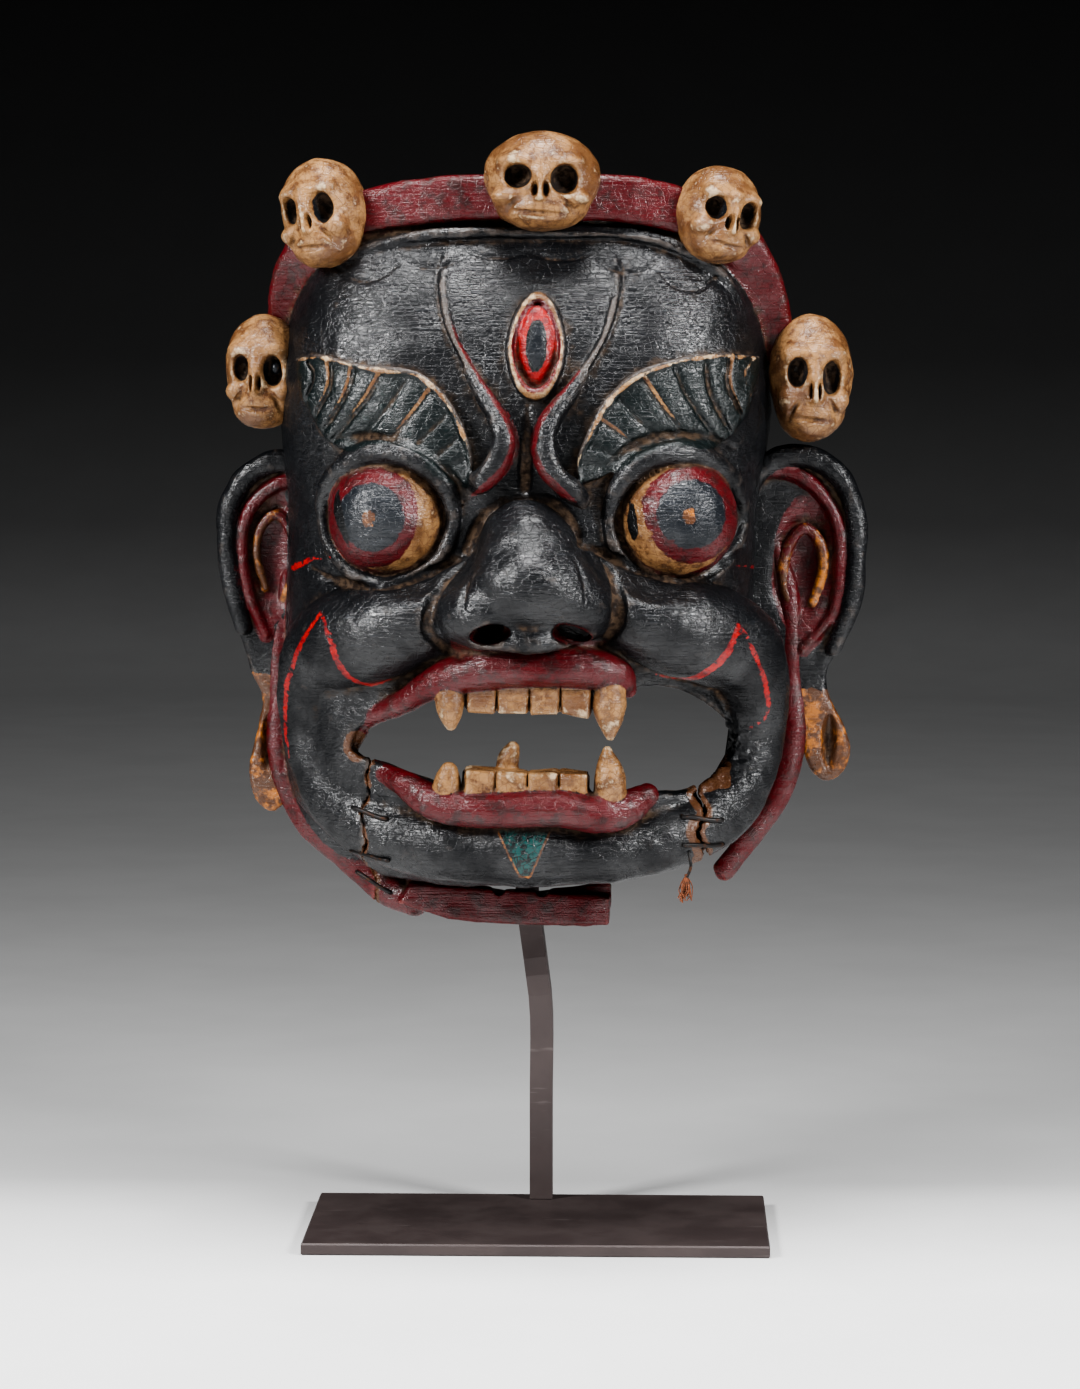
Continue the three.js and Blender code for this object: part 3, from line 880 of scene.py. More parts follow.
@dataclass(frozen=True)
class Mouth(Feature):
    """The open mouth, its lips and its teeth."""

    opening: tuple = (
        (-88, 96), (-84, 108), (-66, 117), (-40, 126), (0, 130), (46, 131), (62, 133), (82, 127), (96, 117),
        (102.5, 105), (98, 92), (82, 80), (58, 80), (0, 80), (-44, 82), (-70, 90),
    )
    upper: tuple = (
        (-88, 66, 96, 3.5), (-80, 76, 111, 4.5), (-62, 92, 122, 6), (-42, 104, 135, 8.5), (-20, 109, 141, 10),
        (2, 110, 143, 9.5), (28, 108, 143, 10), (44, 102, 139, 8), (49, 98, 132, 4.5),
    )
    lower: tuple = (
        (-77, 76, 88, 3), (-62, 89, 82, 6), (-45, 100, 73.5, 8.5), (-28, 105, 71, 9), (-10, 107, 72, 9),
        (18, 107, 73, 9.5), (34, 104, 71, 10), (47, 99, 72, 9.5), (60, 92, 79, 6.5),
    )
    row_start: float = -30
    tooth_pitch: float = 15.4

    def hole(self) -> Form:
        """Returns the opening."""
        return slab(self.opening, -20, 160, smooth=48)

    def teeth(self, low: float, high: float, uneven: float) -> list[Form]:
        """Returns a row of four front teeth.

        Args:
            low: The row's lower edge.
            high: The row's upper edge.
            uneven: How much each tooth's lower edge slopes.

        Returns:
            The teeth.
        """
        made = []
        for i in range(4):
            left = self.row_start + self.tooth_pitch * i
            start, end = left + 0.5, left + 14.9
            drop = uneven * math.sin(2.1 * i + 1)
            outline = [(start, low + drop), (end, low - drop), (end, high), (start, high)]
            bow = 3.2 - 0.9 * abs(i - 1.5)
            made.append(slab(outline, 88 + bow, 108 + bow, rounded=2.0))
        return made

    def rows(self) -> list[Form]:
        """Returns the upper and the lower front teeth."""
        return self.teeth(119, 133, 0.7) + self.teeth(72, 91, 0.8)

    def fangs(self) -> list[Form]:
        """Returns the four fangs and the stub behind the lower row."""
        return [
            rope([(-38, 105, 134), (-38, 107, 122), (-37, 108, 112.5)], [6.5, 6.8, 2.4]),
            rope([(40, 104, 136), (41, 107, 122), (41.5, 109, 110)], [7.0, 8.0, 2.2]),
            rope([(-39, 101, 74), (-38.5, 103, 83), (-37.5, 104, 89.5)], [6.8, 6.8, 4.6]),
            rope([(42, 101, 74), (41.5, 103, 88), (40, 104, 101.5)], [7.5, 8.2, 2.4]),
            rope([(-9, 90, 84), (-9, 91, 94), (-7, 92, 101)], [4.5, 5.6, 3.2]),
        ]

    def carve(self, block: Block) -> None:
        """Opens the mouth, then adds lips and teeth."""
        block.add(ball((0, 97, 145), (46, 13, 17)), 8)
        block.cut(self.hole(), 3)
        gums = [slab([(-31, 120.5), (32, 120.5), (32, 138), (-31, 138)], 86, 104.5, 2),
                slab([(-31, 70), (32, 70), (32, 89), (-31, 89)], 86, 104.5, 2)]
        for gum in gums:
            block.add(gum, 3)
        for tooth in self.rows():
            block.add(tooth, 0.4)
        for fang in self.fangs():
            block.add(fang, 1)
        for lip in (self.upper, self.lower):
            block.add(tapered(lip), 1.5)

    def paint(self, plan: PaintPlan) -> None:
        """Paints the lips crimson and the teeth bone."""
        lips = any_of([tapered(self.upper), tapered(self.lower)])
        plan.lay(Paint.CRIMSON, lips, 0.9)
        u, d, v = plan.points.T
        under_nose = np.maximum.reduce([np.abs(u) - 38, 84 - d, np.abs(v - 147) - 9])
        plan.lay(Paint.CRIMSON, np.maximum(under_nose, d - 118))
        teeth = any_of([*self.rows(), *self.fangs()])
        bone = np.maximum(teeth.near(plan.points) - 0.7, -lips.near(plan.points) + 0.6)
        plan.lay(Paint.BONE, bone)
        plan.keep_off(Paint.CRIMSON, bone)


@dataclass(frozen=True)
class Chin(Feature):
    """The chin with its painted triangle and the red block of rim under it."""

    underside: tuple = (
        (-150, 90), (-130, 68), (-114, 56), (-90, 38), (-74, 27), (-40, 25.5), (-2, 28.5), (42, 31.5),
        (76, 36), (90, 43), (110, 60), (110, -40), (-150, -40),
    )
    broken_off: tuple = ((43, -20), (43, 31), (76, 36), (90, 43), (112, 62), (150, 62), (150, -20))
    block_foot: tuple = ((-66, 13), (-40, 5.5), (0, 3.6), (43, 4.8))
    tie_holes: tuple = (-14, 8)

    def _tie_hole(self, u: float, d: float) -> Form:
        """Returns one of the holes in the block of rim."""
        return ball((u, d, 21.5), (2.8, 12, 2.4))

    def carve(self, block: Block) -> None:
        """Adds the chin's swelling and the rim, with its two tie holes."""
        block.add(ball((0, 84, 52), (36, 22, 22)), 8)
        block.cut(slab(self.underside, 24, 200), 6)
        block.cut(slab(self.broken_off, -20, 200), 4)
        block.add(slab([*self.block_foot, (43, 20), (-60, 24)], 20, 38, 2.5), 2)
        block.add(slab([(-62, 16), (43, 14), (43, 33), (-62, 33)], 18, 30), 2)
        for u in self.tie_holes:
            block.cut(self._tie_hole(u, 34), 1)

    def paint(self, plan: PaintPlan) -> None:
        """Paints the triangle green and the block crimson."""
        u, d, v = plan.points.T
        triangle = outline_distance(np.array([(-13.5, 61.5), (13.5, 62.5), (3.5, 38), (-1.5, 38)]), u, v)
        triangle = np.where(d > 80, triangle, FAR)
        plan.lay(Paint.GOLD, np.maximum(np.abs(triangle + 0.2) - 0.7, v - 61))
        plan.lay(Paint.TURQUOISE, triangle, -0.6)
        block = slab([*self.block_foot, (43, 33), (-60, 33)], 18, 38, 2.5)
        plan.lay(Paint.CRIMSON, block, 0.8)
        # Painted shade in and around the tie holes.
        plan.lay(Paint.SOOT, any_of(self._tie_hole(u, 36) for u in self.tie_holes), 0.4)


@dataclass(frozen=True)
class Creases(Feature):
    """Grooves where the nose, the folds and the lids meet, cut along the finished surface."""

    lines: tuple = (
        (((-33, 193), (-40, 186), (-46, 177), (-49, 167), (-48, 158), (-42, 151), (-32, 146)),
         (1.5, 2.6, 3.4, 3.6, 3.4, 2.6, 1.2)),
        (((23, 204), (34, 198), (41.5, 187), (44, 175), (42, 163), (35, 154)),
         (1.5, 2.6, 3.4, 3.6, 3.0, 1.5)),
        (((-25, 194), (-29, 186), (-31, 177), (-31, 169)), (0.4, 1.1, 1.4, 0.6)),
        (((20, 200), (25, 191), (28, 180), (28, 172)), (0.4, 1.1, 1.4, 0.6)),
        (((-36, 194), (-53, 186), (-73, 179), (-97, 180), (-112, 186)), (2.2, 2.8, 3.0, 2.6, 1.6)),
        (((22, 204), (37, 198), (57, 190), (77, 186.5), (95, 193), (106, 202)),
         (2.2, 2.8, 3.0, 3.0, 2.6, 1.6)),
        (((-33, 198), (-27, 211), (-16, 222), (-3, 225.5), (11, 222), (20, 213), (24, 202)),
         (2.0, 2.8, 3.4, 3.6, 3.4, 2.8, 2.0)),
        (((-4, 272), (-4, 262), (-4, 251), (-4, 240), (-4, 230)), (0.8, 1.8, 3.0, 3.8, 3.4)),
        (((-100, 251), (-86, 253), (-68, 252), (-50, 244), (-36, 231)), (1.2, 2.0, 2.2, 2.0, 1.4)),
        (((100, 251), (88, 256), (69, 258), (48, 252), (33, 238)), (1.2, 2.0, 2.2, 2.0, 1.4)),
        (((-100, 345), (-88, 352), (-60, 357), (-30, 358.5), (0, 359), (30, 358.5), (56, 356), (78, 348)),
         (1.0, 1.5, 1.8, 1.8, 1.8, 1.8, 1.6, 1.0)),
    )

    def carve(self, block: Block) -> None:
        """Cuts each groove into whatever wood it crosses."""
        for line, radii in self.lines:
            path = curve_through([(*place, size) for place, size in zip(line, radii)], 4 * len(line))
            places = [(u, block.front(u, v), v) for u, v, _ in path]
            if not np.isnan(places).any():
                smooth = np.array(places)
                smooth[1:-1, 1] = (smooth[:-2, 1] + smooth[1:-1, 1] + smooth[2:, 1]) / 3
                block.cut(rope([tuple(place) for place in smooth], list(path[:, 2]), fine=1), 1.2)


@dataclass(frozen=True)
class Cracks(Feature):
    """Cracks in the wood, drawn as lines of painted shadow, and chips where black paint has run over the
    eyes.
    """

    lines: tuple = (
        (((99, 318), (99.5, 308), (98, 299), (99, 295)), (0.2, 1.3, 1.0, 0.2)),
        (((111, 276), (112, 266), (110.5, 256)), (0.3, 1.2, 0.2)),
        (((7, 201), (5.5, 196), (7.5, 190)), (0.2, 0.7, 0.2)),
        (((-2.5, 196), (-3, 190)), (0.5, 0.2)),
        (((-84, 121), (-88, 132), (-86, 143)), (0.9, 0.6, 0.2)),
        (((20, 49), (31, 47), (44, 50)), (0.2, 0.5, 0.2)),
        (((-58, 52), (-49, 57), (-46, 64)), (0.2, 0.5, 0.2)),
        (((-110, 300), (-109, 292)), (0.5, 0.2)),
        (((-38, 330), (-37, 318), (-33, 308)), (0.2, 0.5, 0.2)),
    )
    chips: tuple = (
        ((-97, 228), (-93, 214), (-89, 197), (-93, 203), (-98, 214)),
        ((48, 226), (52, 214), (51, 205), (47, 211)),
        ((-64, 242), (-52, 238), (-47, 230), (-58, 236)),
    )

    def paint(self, plan: PaintPlan) -> None:
        """Paints shadow along the cracks, and paints the chips black."""
        u, d, v = plan.points.T
        for line, widths in self.lines:
            # Painted shadow along each crack.
            plan.lay(Paint.SOOT, np.where(d > 30, _flat_line(u, v, line, widths), FAR))
        for chip in self.chips:
            # Black paint where it has run.
            away = outline_distance(curve_through(chip, 24, True), u, v)
            plan.lay(Paint.SOOT, np.where(d > 60, away, FAR))


@dataclass(frozen=True)
class Rim(Feature):
    """The red rim down each side of the head, broken off at the viewer's right of the chin."""

    left: tuple = (
        (-128, 9, 178, 4), (-131, 10, 150, 5.5), (-131.5, 11, 113, 6), (-129, 12, 76, 6), (-115, 12, 52, 7.5),
        (-92, 14, 33, 8.5), (-70, 20, 18, 9), (-58, 26, 13, 8),
    )
    right: tuple = (
        (121, 10, 205, 4), (130, 10, 178, 5), (133, 11, 132, 6), (135, 12, 102, 6.5), (129, 12, 75, 6.5),
        (115, 12, 52, 6.5), (101, 12, 32, 5.5),
    )

    def ropes(self) -> Form:
        """Returns both sides of the rim."""
        return any_of(tapered(side) for side in (self.left, self.right))

    def carve(self, block: Block) -> None:
        """Adds the rim, and cuts off its broken end."""
        block.add(self.ropes(), 2)
        block.cut(slab([(88, 10), (101, 24), (97, 30), (90, 50), (84, 10)], -20, 40), 0)

    def paint(self, plan: PaintPlan) -> None:
        """Paints the rim crimson."""
        plan.lay(Paint.CRIMSON, self.ropes(), 1.0)


@dataclass(frozen=True)
class Ear(Feature):
    """A broad ear with a rolled edge and a long stretched lobe."""

    side: int

    def _bow(self) -> list[tuple[float, float]]:
        """Returns the outer edge from the top down, for the right side of the face."""
        if self.side < 0:
            return [(112, 232), (124, 239), (140, 240), (154, 232), (162, 218), (163, 198), (160, 176),
                    (154, 155)]
        return [(116, 240), (128, 249), (143, 250), (157, 241), (166, 224), (168, 200), (166, 176),
                (158, 152)]

    def _lobe(self) -> list[tuple[float, float]]:
        """Returns the lobe's edge from the outer side round to the head."""
        if self.side < 0:
            return [(150, 142), (146, 128), (140, 116), (142, 98), (146, 78), (143, 62), (134, 55), (126, 62),
                    (124, 84), (120, 110)]
        return [(151, 136), (153, 122), (160, 110), (164, 98), (161, 85), (152, 80), (144, 86), (138, 104),
                (132, 124)]

    def _rolled(self) -> Form:
        """Returns the rolled edge."""
        bow = self._bow()
        path = [(self.side * (u - 4), 17, v - 3) for u, v in [(108, 224), *bow]]
        return rope(path, [3, 5, 5.6, 5.8, 5.6, 5.4, 5.2, 5, 4])

    def _ring(self) -> list[Triple]:
        """Returns the path of the inner ring."""
        bow = self._bow()
        inner = [(u - 14 - 2 * math.sin(i), v - 12 + 3 * i / 7) for i, (u, v) in enumerate(bow)]
        return [(self.side * u, 16, v) for u, v in inner[:-1]] + [(self.side * 138, 15, 148)]

    def _curl(self) -> list[Triple]:
        """Returns the path of the curl inside the ring."""
        points = [(130, 166), (124, 182), (126, 200), (134, 210), (142, 203), (144, 188), (139, 172)]
        shift = 0 if self.side < 0 else 3
        return [(self.side * (u + shift), 13, v) for u, v in points]

    def carve(self, block: Block) -> None:
        """Adds the plate, hollows it, and adds its rolls."""
        outline = turned(self.side, [(104, 160), (104, 236), *self._bow(), *self._lobe()])
        block.add(slab(outline, 2, 15, rounded=3, smooth=64), 3)
        block.add(self._rolled(), 2)
        block.cut(ball((self.side * 136, 22, 192), (17, 15, 34), tilt=-self.side * 8), 3)
        block.add(rope(self._ring(), [2.5, 3.2, 3.6, 3.6, 3.4, 3.2, 3, 2.4]), 1.5)
        block.add(rope(self._curl(), [2, 2.6, 3, 3, 2.8, 2.4, 1.8]), 1.5)
        slot = (153, 101) if self.side > 0 else (136, 92)
        block.cut(ball((self.side * slot[0], 16, slot[1]), (3.6, 7, 15)), 1.5)

    def paint(self, plan: PaintPlan) -> None:
        """Paints the ring and hollow crimson, the curl and the lobe gold."""
        u, d, v = plan.points.T
        x = self.side * u
        hollow = np.hypot((x - 138) / 15, (v - 190) / 33) * 15 - 15
        here = (x > 118) & (d > 2) & (HEAD.distance(u, d, v) > 1)
        plan.lay(Paint.CRIMSON, np.where(here, hollow, FAR), 2)
        plan.lay(Paint.CRIMSON, rope(self._ring(), 3.6), 0.8)
        plan.keep_off(Paint.CRIMSON, np.where(here, self._rolled().near(plan.points), FAR), 0.2)
        plan.lay(Paint.GOLD, rope(self._curl(), 2.4), 0.4)
        lobe = outline_distance(np.array(turned(1, self._lobe())), x, v)
        plan.lay(Paint.GOLD, np.where((x > 118) & (v < 128), lobe, FAR), 1.5)


@dataclass(frozen=True)
class Crown(Feature):
    """The crimson band over the forehead, with a bead and a scalloped hair line under it."""

    path: tuple = (
        (-129, 14, 298), (-128, 20, 314), (-125, 28, 332), (-117, 36, 346), (-96, 44, 361), (-60, 52, 370),
        (0, 57, 373), (46, 54, 373), (74, 48, 367), (96, 40, 355), (107, 32, 340), (114, 24, 320),
        (117, 16, 300),
    )
    tall: float = 11.5
    thick: float = 8
    rounded: float = 4
    scallops: tuple = ((-88, 17, 8), (-55, 18, 7), (-22, 16, 4), (10, 17, 4), (44, 16, 7), (74, 15, 9))

    def _bead(self) -> Form:
        """Returns the bead along the lower edge of the band."""
        places = []
        for u, d, v in self.path[2:-2]:
            inner = u * 0.925
            places.append((inner, min(d + 12, HEAD.skin(inner, v - 19) + 2), v - 17))
        return rope(places, 3.2)

    def band(self) -> Form:
        """Returns the band: a rounded strap along its path."""
        path = curve_through(self.path, 45)
        return any_of(self._strap_link(a, b) for a, b in zip(path[:-1], path[1:]))

    def _strap_link(self, a: Array, b: Array) -> Form:
        """Makes one link of the strap.

        Args:
            a: Its start.
            b: Its end.

        Returns:
            The form.
        """
        along = (b - a) / np.linalg.norm(b - a)
        outward = np.array((-along[2], 0.0, along[0]))
        outward = outward / np.linalg.norm(outward)
        through = np.cross(along, outward)
        length = float(np.linalg.norm(b - a))

        def distance(u: Array, d: Array, v: Array) -> Array:
            """Returns the distance to the link."""
            x, y, z = u - a[0], d - a[1], v - a[2]
            s = x * along[0] + y * along[1] + z * along[2]
            r = x * outward[0] + y * outward[1] + z * outward[2]
            t = x * through[0] + y * through[1] + z * through[2]
            s = np.maximum(np.maximum(-s, s - length), 0)
            q_r = np.abs(r) - self.tall + self.rounded
            q_t = np.abs(t) - self.thick + self.rounded
            outside = np.sqrt(np.maximum(q_r, 0) ** 2 + np.maximum(q_t, 0) ** 2 + s * s)
            return outside + np.minimum(np.maximum(q_r, q_t), 0) - self.rounded

        reach = self.tall + 2
        return Form(tuple(np.minimum(a, b) - reach), tuple(np.maximum(a, b) + reach), distance)

    def carve(self, block: Block) -> None:
        """Adds the band, what joins it to the rim, and the bead."""
        backing = [(u, v) for u, _, v in self.path] + [(112, 280), (-116, 280)]
        block.add(slab(backing, 0, 20), 3)
        block.add(self.band(), 3)
        block.add(self._bead(), 1.5)
        for u, half, sag in self.scallops:
            block.cut(self._scallop(u, half, sag), 0.8)

    def _scallop(self, u: float, half: float, sag: float) -> Form:
        """Returns one shallow arc of the hair line."""
        arc = [(u + half * x, 347 - sag * (1 - x * x) - 0.0014 * (u + 6) ** 2) for x in (-1, -0.5, 0, 0.5, 1)]
        return rope([on_skin(a, b, 0.1) for a, b in arc], [0.7, 1.3, 1.5, 1.3, 0.7])

    def paint(self, plan: PaintPlan) -> None:
        """Paints the band crimson."""
        plan.lay(Paint.CRIMSON, self.band(), 1.2)
        plan.keep_off(Paint.CRIMSON, self._bead(), 0.6)


@dataclass(frozen=True)
class Skull(Feature):
    """One of the skulls on the crown.

    Attributes:
        place: Its middle.
        form: Half sizes along its own width, depth and height.
        turn: Degrees that it looks away about v.
        tilt: Degrees that it leans about d.
    """

    place: Triple
    form: Triple
    turn: float = 0.0
    tilt: float = 0.0

    def _at(self, x: float, forward: float, z: float) -> Triple:
        """Returns a place from shares of the skull's half sizes."""
        p = np.array((x * self.form[0], forward * self.form[1], z * self.form[2]))
        cl, sl = math.cos(math.radians(self.tilt)), math.sin(math.radians(self.tilt))
        p = np.array((cl * p[0] - sl * p[2], p[1], sl * p[0] + cl * p[2]))
        ct, st = math.cos(math.radians(self.turn)), math.sin(math.radians(self.turn))
        p = np.array((ct * p[0] - st * p[1], st * p[0] + ct * p[1], p[2]))
        return tuple(np.array(self.place) + p)

    def _egg(self, at: Triple, size: Triple) -> Form:
        """Returns an egg, both in shares of the skull's half sizes."""
        return ball(self._at(*at), tuple(s * f for s, f in zip(size, self.form)), self.turn, self.tilt)

    def sockets(self) -> Form:
        """Returns the holes of the eyes and the nose."""
        holes = []
        for side in SIDES:
            holes.append(self._egg((side * 0.41, 0.98, 0.04 - 0.03 * side), (0.25, 0.6, 0.27 + 0.02 * side)))
            holes.append(self._egg((side * 0.09, 1.1, -0.2), (0.05, 0.36, 0.15)))
        return any_of(holes)

    def _grin(self) -> Form:
        """Returns the groove of the mouth."""
        arc = [self._at(x, 0.93 - 0.42 * x * x, -0.66 - 0.06 * x) for x in (-0.5, -0.25, 0, 0.25, 0.5)]
        fold = ((0.26, 0.98, -0.3), (0.5, 0.82, -0.5), (0.6, 0.68, -0.72))
        cheeks = [rope([self._at(side * x, y, z) for x, y, z in fold], [0.5, 1.1, 0.6]) for side in SIDES]
        return any_of([rope(arc, [0.5, 1.1, 1.3, 1.0, 0.5]), *cheeks])

    def whole(self) -> Form:
        """Returns the skull without its holes."""
        return any_of([self._cranium(), self._muzzle(), *self._lumps()])

    def _cranium(self) -> Form:
        """Returns the round of the skull."""
        return self._egg((0, 0, 0.08), (1, 1, 0.92))

    def _muzzle(self) -> Form:
        """Returns the jaws, which stand forwards."""
        return self._egg((0, 0.22, -0.55), (0.78, 0.78, 0.45))

    def _lumps(self) -> list[Form]:
        """Returns the cheekbones and the ridge of the nose."""
        bones = [self._egg((side * 0.58, 0.68, -0.34), (0.26, 0.26, 0.17)) for side in SIDES]
        brows = [self._egg((side * 0.38, 0.7, 0.36), (0.36, 0.26, 0.16)) for side in SIDES]
        ridge = [self._at(0, y, z) for y, z in ((0.93, 0.36), (1.02, 0.05), (1.05, -0.3))]
        return [*bones, *brows, rope(ridge, [1.8, 2.2, 3.0])]

    def carve(self, block: Block) -> None:
        """Adds the skull and cuts its face."""
        block.add(self._cranium(), 2)
        block.add(self._muzzle(), 5)
        for lump in self._lumps():
            block.add(lump, 4)
        block.cut(self.sockets(), 1.5)
        block.cut(self._grin(), 1.5)
        for side in SIDES:
            block.add(self._egg((side * 0.43, 0.62, 0.06), (0.11, 0.14, 0.11)), 0.5)

    def paint(self, plan: PaintPlan) -> None:
        """Paints the skull bone, with dark sockets."""
        plan.lay(Paint.BONE, self.whole(), 1.8)
        plan.keep_off(Paint.CRIMSON, self.whole(), 1.8)
        deep = self.sockets().near(plan.points)
        inside = self._egg((0, -0.12, 0.05), (1, 1, 0.95)).near(plan.points)
        plan.lay(Paint.INK, np.maximum(deep - 0.6, inside))


SKULLS = (
    Skull((-0.5, 64, 381), (29, 25, 25)),
    Skull((-109, 50, 363), (21.5, 23, 28), turn=24, tilt=12),
    Skull((87, 52, 367), (21.5, 23, 24.5), turn=-22, tilt=-10),
    Skull((-140, 24, 283), (20.5, 21, 29), turn=10, tilt=2),
    Skull((137, 24, 287), (21.5, 21, 32), turn=-6),
)


# ---- finishes ----
@dataclass
class NodeSheet:
    """A material's node tree, with short ways to add to it."""

    material: bpy.types.Material
    seed: float = 0.0
    made: int = field(default=0)

    def __post_init__(self) -> None:
        """Clears the tree down to its shader and its output."""
        self.material.use_nodes = True
        self.tree = self.material.node_tree
        self.tree.nodes.clear()
        self.out = self.add("ShaderNodeOutputMaterial")
        self.shader = self.add("ShaderNodeBsdfPrincipled")
        self.link(self.shader.outputs["BSDF"], self.out.inputs["Surface"])
        self.place = self.add("ShaderNodeTexCoord").outputs["Object"]

    def add(self, kind: str, **settings: object) -> bpy.types.Node:
        """Adds a node with some settings."""
        node = self.tree.nodes.new(kind)
        for name, value in settings.items():
            setattr(node, name, value)
        self.made += 1
        node.location = (180 * (self.made % 12), -220 * (self.made // 12))
        return node

    def link(self, source: bpy.types.NodeSocket, target: bpy.types.NodeSocket) -> None:
        """Links two sockets."""
        self.tree.links.new(source, target)

    def put(self, value: object, target: bpy.types.NodeSocket) -> None:
        """Links a socket, or sets a plain value, into another."""
        if isinstance(value, bpy.types.NodeSocket):
            self.link(value, target)
        elif isinstance(value, tuple) and len(value) == 3 and target.type == "RGBA":
            target.default_value = (*value, 1.0)
        else:
            target.default_value = value

    def attribute(self, name: str) -> bpy.types.NodeSocket:
        """Returns a float attribute of the surface."""
        return self.add("ShaderNodeAttribute", attribute_name=name).outputs["Fac"]

    def math(self, what: str, a: object, b: object = 0.0, clamp: bool = False) -> bpy.types.NodeSocket:
        """Returns the result of a calculation."""
        node = self.add("ShaderNodeMath", operation=what, use_clamp=clamp)
        self.put(a, node.inputs[0])
        self.put(b, node.inputs[1])
        return node.outputs[0]

    def ramp(self, value: object, low: float, high: float, to_low: float = 0.0,
             to_high: float = 1.0) -> bpy.types.NodeSocket:
        """Returns a value mapped smoothly from one range to another, and clamped."""
        node = self.add("ShaderNodeMapRange", interpolation_type="SMOOTHSTEP")
        for socket, given in zip(node.inputs, (value, low, high, to_low, to_high)):
            self.put(given, socket)
        return node.outputs[0]

    def noise(self, size_mm: float, detail: float = 3.0, rough: float = 0.55,
              stretch: Triple = (1, 1, 1), twist: float = 0.0) -> bpy.types.NodeSocket:
        """Returns noise from 0 to 1.

        Args:
            size_mm: Size of a blotch.
            detail: Octaves.
            rough: Strength of the finer octaves.
            stretch: How many times longer it is along X, Y and Z.
            twist: How much it warps itself.

        Returns:
            The noise's socket.
        """
        mapping = self.add("ShaderNodeMapping")
        self.link(self.place, mapping.inputs["Vector"])
        mapping.inputs["Location"].default_value = (self.seed + self.made, 3.1 * self.seed, 7.7)
        mapping.inputs["Scale"].default_value = tuple(1 / s for s in stretch)
        node = self.add("ShaderNodeTexNoise")
        self.link(mapping.outputs[0], node.inputs["Vector"])
        node.inputs["Scale"].default_value = 1000 / size_mm
        node.inputs["Detail"].default_value = detail
        node.inputs["Roughness"].default_value = rough
        node.inputs["Distortion"].default_value = twist
        return node.outputs["Fac"]

    def cells(self, size_mm: float, feature: str = "DISTANCE_TO_EDGE") -> bpy.types.NodeSocket:
        """Returns a cell pattern's distance."""
        node = self.add("ShaderNodeTexVoronoi", feature=feature)
        self.link(self.place, node.inputs["Vector"])
        node.inputs["Scale"].default_value = 1000 / size_mm
        return node.outputs["Distance"]

    def mix(self, share: object, a: object, b: object) -> bpy.types.NodeSocket:
        """Returns a mix of two colours."""
        node = self.add("ShaderNodeMix", data_type="RGBA")
        self.put(share, node.inputs[0])
        self.put(a, node.inputs[6])
        self.put(b, node.inputs[7])
        return node.outputs[2]

    def blend(self, share: object, a: object, b: object) -> bpy.types.NodeSocket:
        """Returns a mix of two numbers."""
        node = self.add("ShaderNodeMix", data_type="FLOAT")
        self.put(share, node.inputs[0])
        self.put(a, node.inputs[2])
        self.put(b, node.inputs[3])
        return node.outputs[0]

    def bump(self, height: object, distance_mm: float, strength: float = 1.0,
             under: bpy.types.NodeSocket | None = None) -> bpy.types.NodeSocket:
        """Returns normals bumped by a height from 0 to 1."""
        node = self.add("ShaderNodeBump")
        node.inputs["Distance"].default_value = distance_mm * MM
        node.inputs["Strength"].default_value = strength
        self.put(height, node.inputs["Height"])
        if under is not None:
            self.link(under, node.inputs["Normal"])
        return node.outputs[0]

    def finish(self, color: object, roughness: object, normal: object = None, metallic: float = 0.0,
               specular: float = 0.5) -> None:
        """Sets the shader's inputs."""
        self.put(color, self.shader.inputs["Base Color"])
        self.put(roughness, self.shader.inputs["Roughness"])
        self.shader.inputs["Metallic"].default_value = metallic
        self.shader.inputs["Specular IOR Level"].default_value = specular
        if normal is not None:
            self.put(normal, self.shader.inputs["Normal"])


